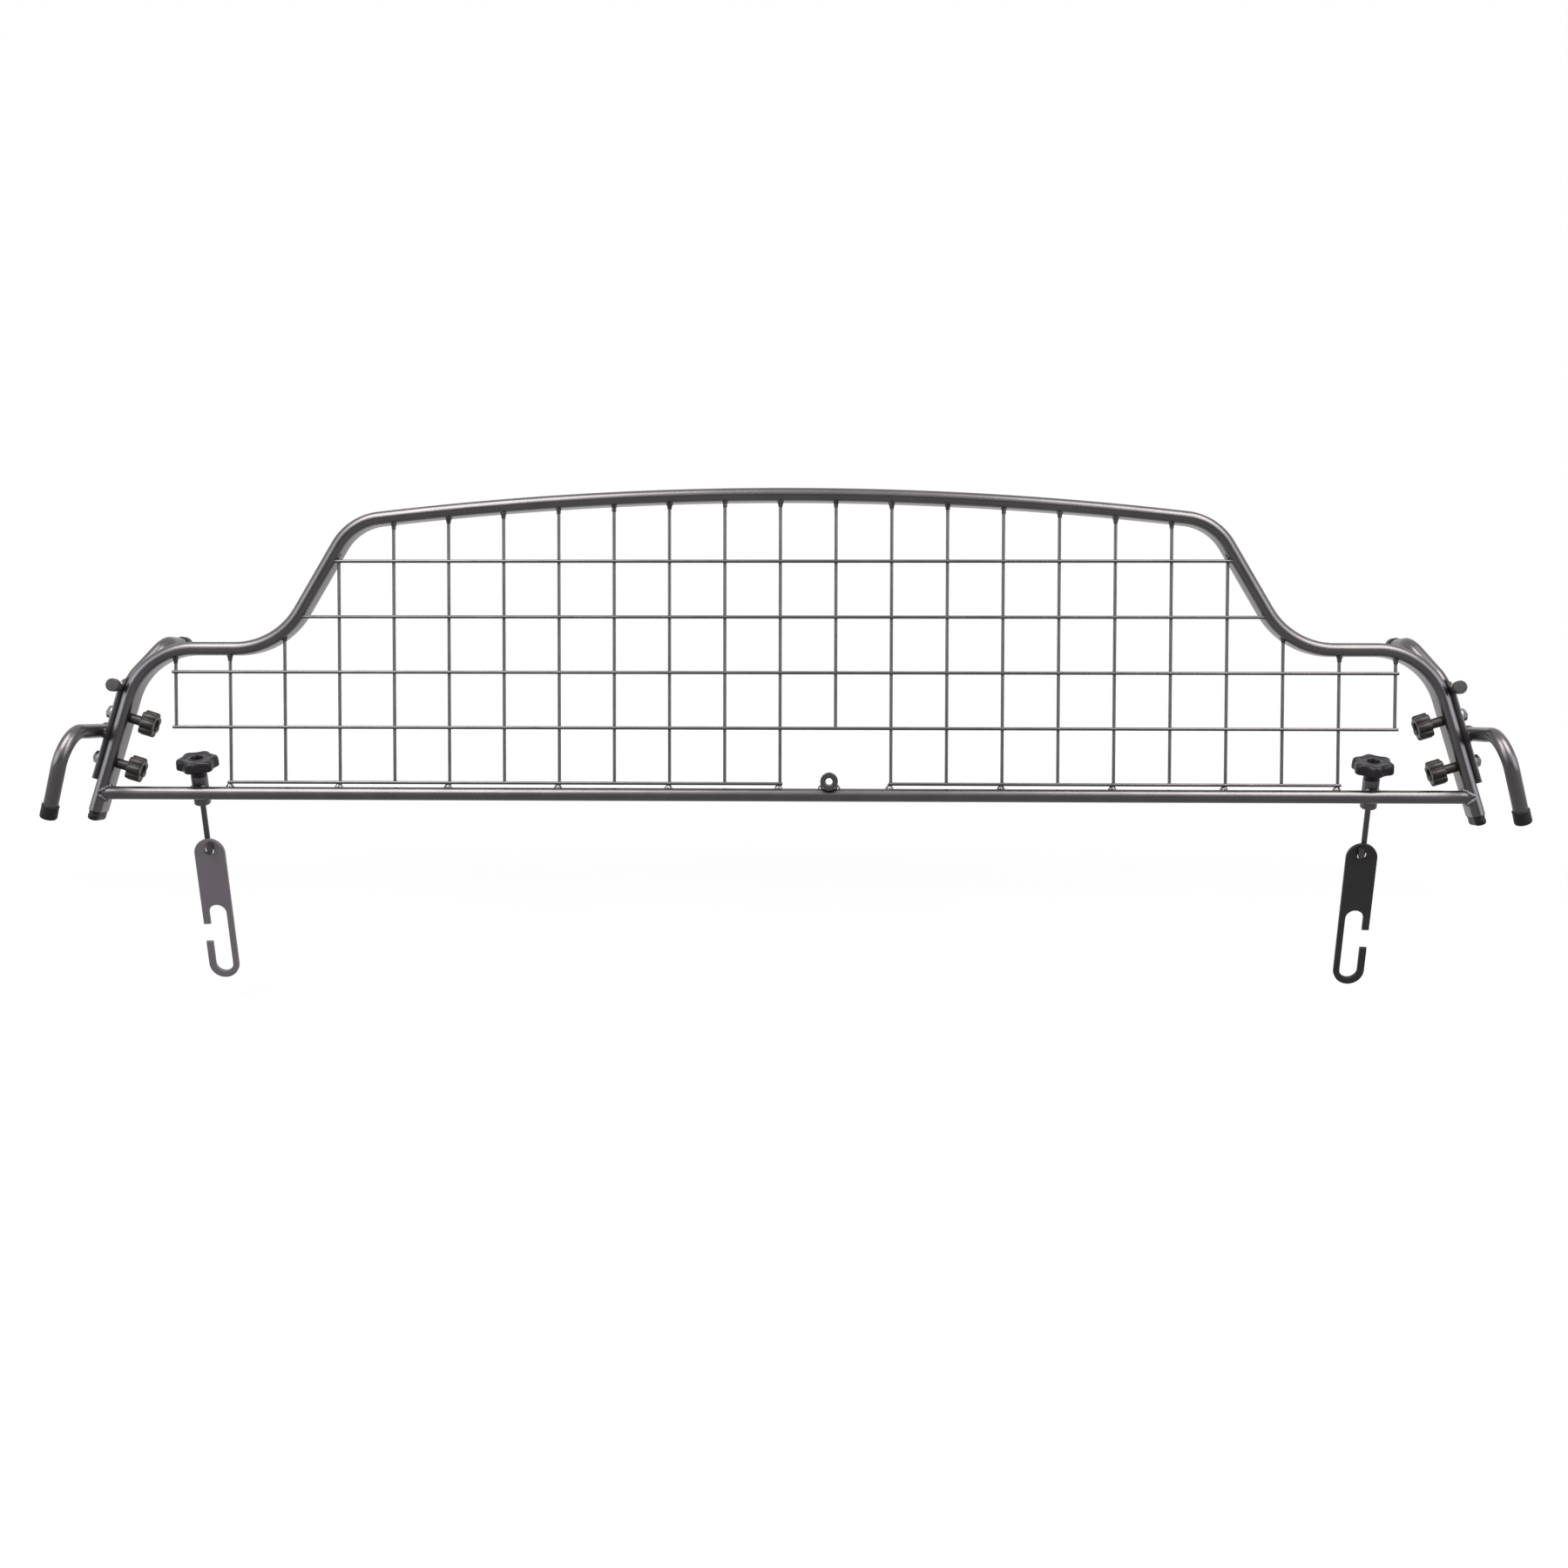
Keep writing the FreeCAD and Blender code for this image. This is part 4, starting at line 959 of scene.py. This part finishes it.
def floor_disc():
    """A pale floor whose glow, stronger far out, makes it white to the camera and, behind the guard, to metal."""
    mesh = bpy.data.meshes.new("floor")
    count = 96
    mesh.from_pydata(circle(30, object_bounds()[0].z - 0.02, count), [], [tuple(range(count))])
    material, nodes, links, shader = node_material("floor_pale")
    grain = object_noise(nodes, links, 3, 2)
    links.new(two_tones(nodes, links, grain, (0.27, 0.27, 0.27), (0.29, 0.29, 0.29)), shader.inputs["Base Color"])
    shader.inputs["Roughness"].default_value = 0.9
    shader.inputs["Specular IOR Level"].default_value = 0.1
    place = nodes.new("ShaderNodeTexCoord")
    away = nodes.new("ShaderNodeVectorMath")
    away.operation = "LENGTH"
    links.new(place.outputs["Object"], away.inputs[0])
    parts = nodes.new("ShaderNodeSeparateXYZ")
    links.new(place.outputs["Object"], parts.inputs["Vector"])
    seen = times(nodes, links, between(nodes, links, away.outputs["Value"], 0.75, 0.98, 0.8, 3.5),
                 seen_by(nodes, links, "Camera", "Transmission"))
    mirrored = times(nodes, links, between(nodes, links, parts.outputs["Y"], 0.05, 0.8, -0.1, 0.6),
                     seen_by(nodes, links, "Glossy"))
    total = nodes.new("ShaderNodeMath")
    links.new(seen, total.inputs[0])
    links.new(mirrored, total.inputs[1])
    glow = nodes.new("ShaderNodeEmission")
    links.new(total.outputs["Value"], glow.inputs["Strength"])
    added = nodes.new("ShaderNodeAddShader")
    links.new(shader.outputs["BSDF"], added.inputs[0])
    links.new(glow.outputs["Emission"], added.inputs[1])
    links.new(added.outputs["Shader"], nodes["Material Output"].inputs["Surface"])
    mesh.materials.append(material)
    ground = bpy.data.objects.new("floor", mesh)
    bpy.context.scene.collection.objects.link(ground)


floor_disc()


def studio_world():
    """White to the camera, greyer on the viewer's side where metal mirrors it, and dim as a light."""
    world = bpy.data.worlds.new("studio")
    bpy.context.scene.world = world
    world.use_nodes = True
    nodes, links = world.node_tree.nodes, world.node_tree.links
    way = nodes.new("ShaderNodeTexCoord")
    parts = nodes.new("ShaderNodeSeparateXYZ")
    links.new(way.outputs["Generated"], parts.inputs["Vector"])
    raised = nodes.new("ShaderNodeMath")
    raised.operation = "MULTIPLY"
    raised.inputs[1].default_value = 2
    links.new(parts.outputs["Z"], raised.inputs[0])
    behind = nodes.new("ShaderNodeMath")
    behind.operation = "MULTIPLY_ADD"
    behind.inputs[1].default_value = 0.8
    links.new(parts.outputs["Y"], behind.inputs[0])
    links.new(raised.outputs["Value"], behind.inputs[2])
    back = nodes["Background"]
    back.inputs["Color"].default_value = (1, 1, 1, 1)
    whitest = nodes.new("ShaderNodeMath")
    whitest.operation = "MAXIMUM"
    links.new(seen_by(nodes, links, "Camera", "Transmission"), whitest.inputs[0])
    links.new(between(nodes, links, behind.outputs["Value"], 0.25, 1, -0.8, 0), whitest.inputs[1])
    links.new(whitest.outputs["Value"], back.inputs["Strength"])
    soft = nodes.new("ShaderNodeBackground")
    soft.inputs["Color"].default_value = (0.95, 0.97, 1, 1)
    soft.inputs["Strength"].default_value = 0.15
    mixed = nodes.new("ShaderNodeMixShader")
    links.new(seen_by(nodes, links, "Camera", "Glossy", "Transmission"), mixed.inputs["Fac"])
    links.new(soft.outputs["Background"], mixed.inputs[1])
    links.new(back.outputs["Background"], mixed.inputs[2])
    links.new(mixed.outputs["Shader"], nodes["World Output"].inputs["Surface"])


studio_world()


def softbox(name, place, target, width, height, power, colour):
    lamp = bpy.data.lights.new(name, "AREA")
    lamp.shape = "RECTANGLE"
    lamp.size, lamp.size_y = width, height
    lamp.energy = power
    lamp.color = colour
    thing = bpy.data.objects.new(name, lamp)
    bpy.context.scene.collection.objects.link(thing)
    thing.location = place
    thing.rotation_mode = "QUATERNION"
    thing.rotation_quaternion = (Vector(target) - Vector(place)).to_track_quat("-Z", "Y")


softbox("left_box", (-0.75, -0.75, 1.25), (-0.4, 0, 0.1), 0.9, 1.15, 28, (1, 0.965, 0.95))
softbox("right_box", (0.9, -0.75, 1.25), (0.5, 0, 0.1), 0.9, 1.15, 26, (1, 0.945, 0.91))
softbox("left_panel", (-1.9, -1.1, 0.45), (-0.5, 0, 0.1), 1.8, 1.0, 16, (0.88, 0.93, 1))
softbox("right_panel", (1.9, -1.1, 0.45), (0.5, 0, 0.1), 1.8, 1.0, 16, (0.88, 0.93, 1))


CAMERA_AT = (0.0528, -1.7283, 0.0765)
CAMERA_TURN = (radians(-1.627), radians(-2.204), radians(0.12))


def make_camera():
    camera = bpy.data.cameras.new("camera")
    camera.sensor_width = 36
    camera.lens = 44.0
    camera.clip_start, camera.clip_end = 0.01, 200
    thing = bpy.data.objects.new("camera", camera)
    bpy.context.scene.collection.objects.link(thing)
    yaw, pitch, roll = CAMERA_TURN
    ahead = Vector((sin(yaw) * cos(pitch), cos(yaw) * cos(pitch), sin(pitch)))
    level = Vector((cos(yaw), -sin(yaw), 0))
    upright = level.cross(ahead)
    right = level * cos(roll) + upright * sin(roll)
    up = upright * cos(roll) - level * sin(roll)
    turn = Matrix((right, up, -ahead)).transposed().to_4x4()
    thing.matrix_world = Matrix.Translation(CAMERA_AT) @ turn
    bpy.context.scene.camera = thing


make_camera()
bpy.context.scene.view_settings.view_transform = "Standard"
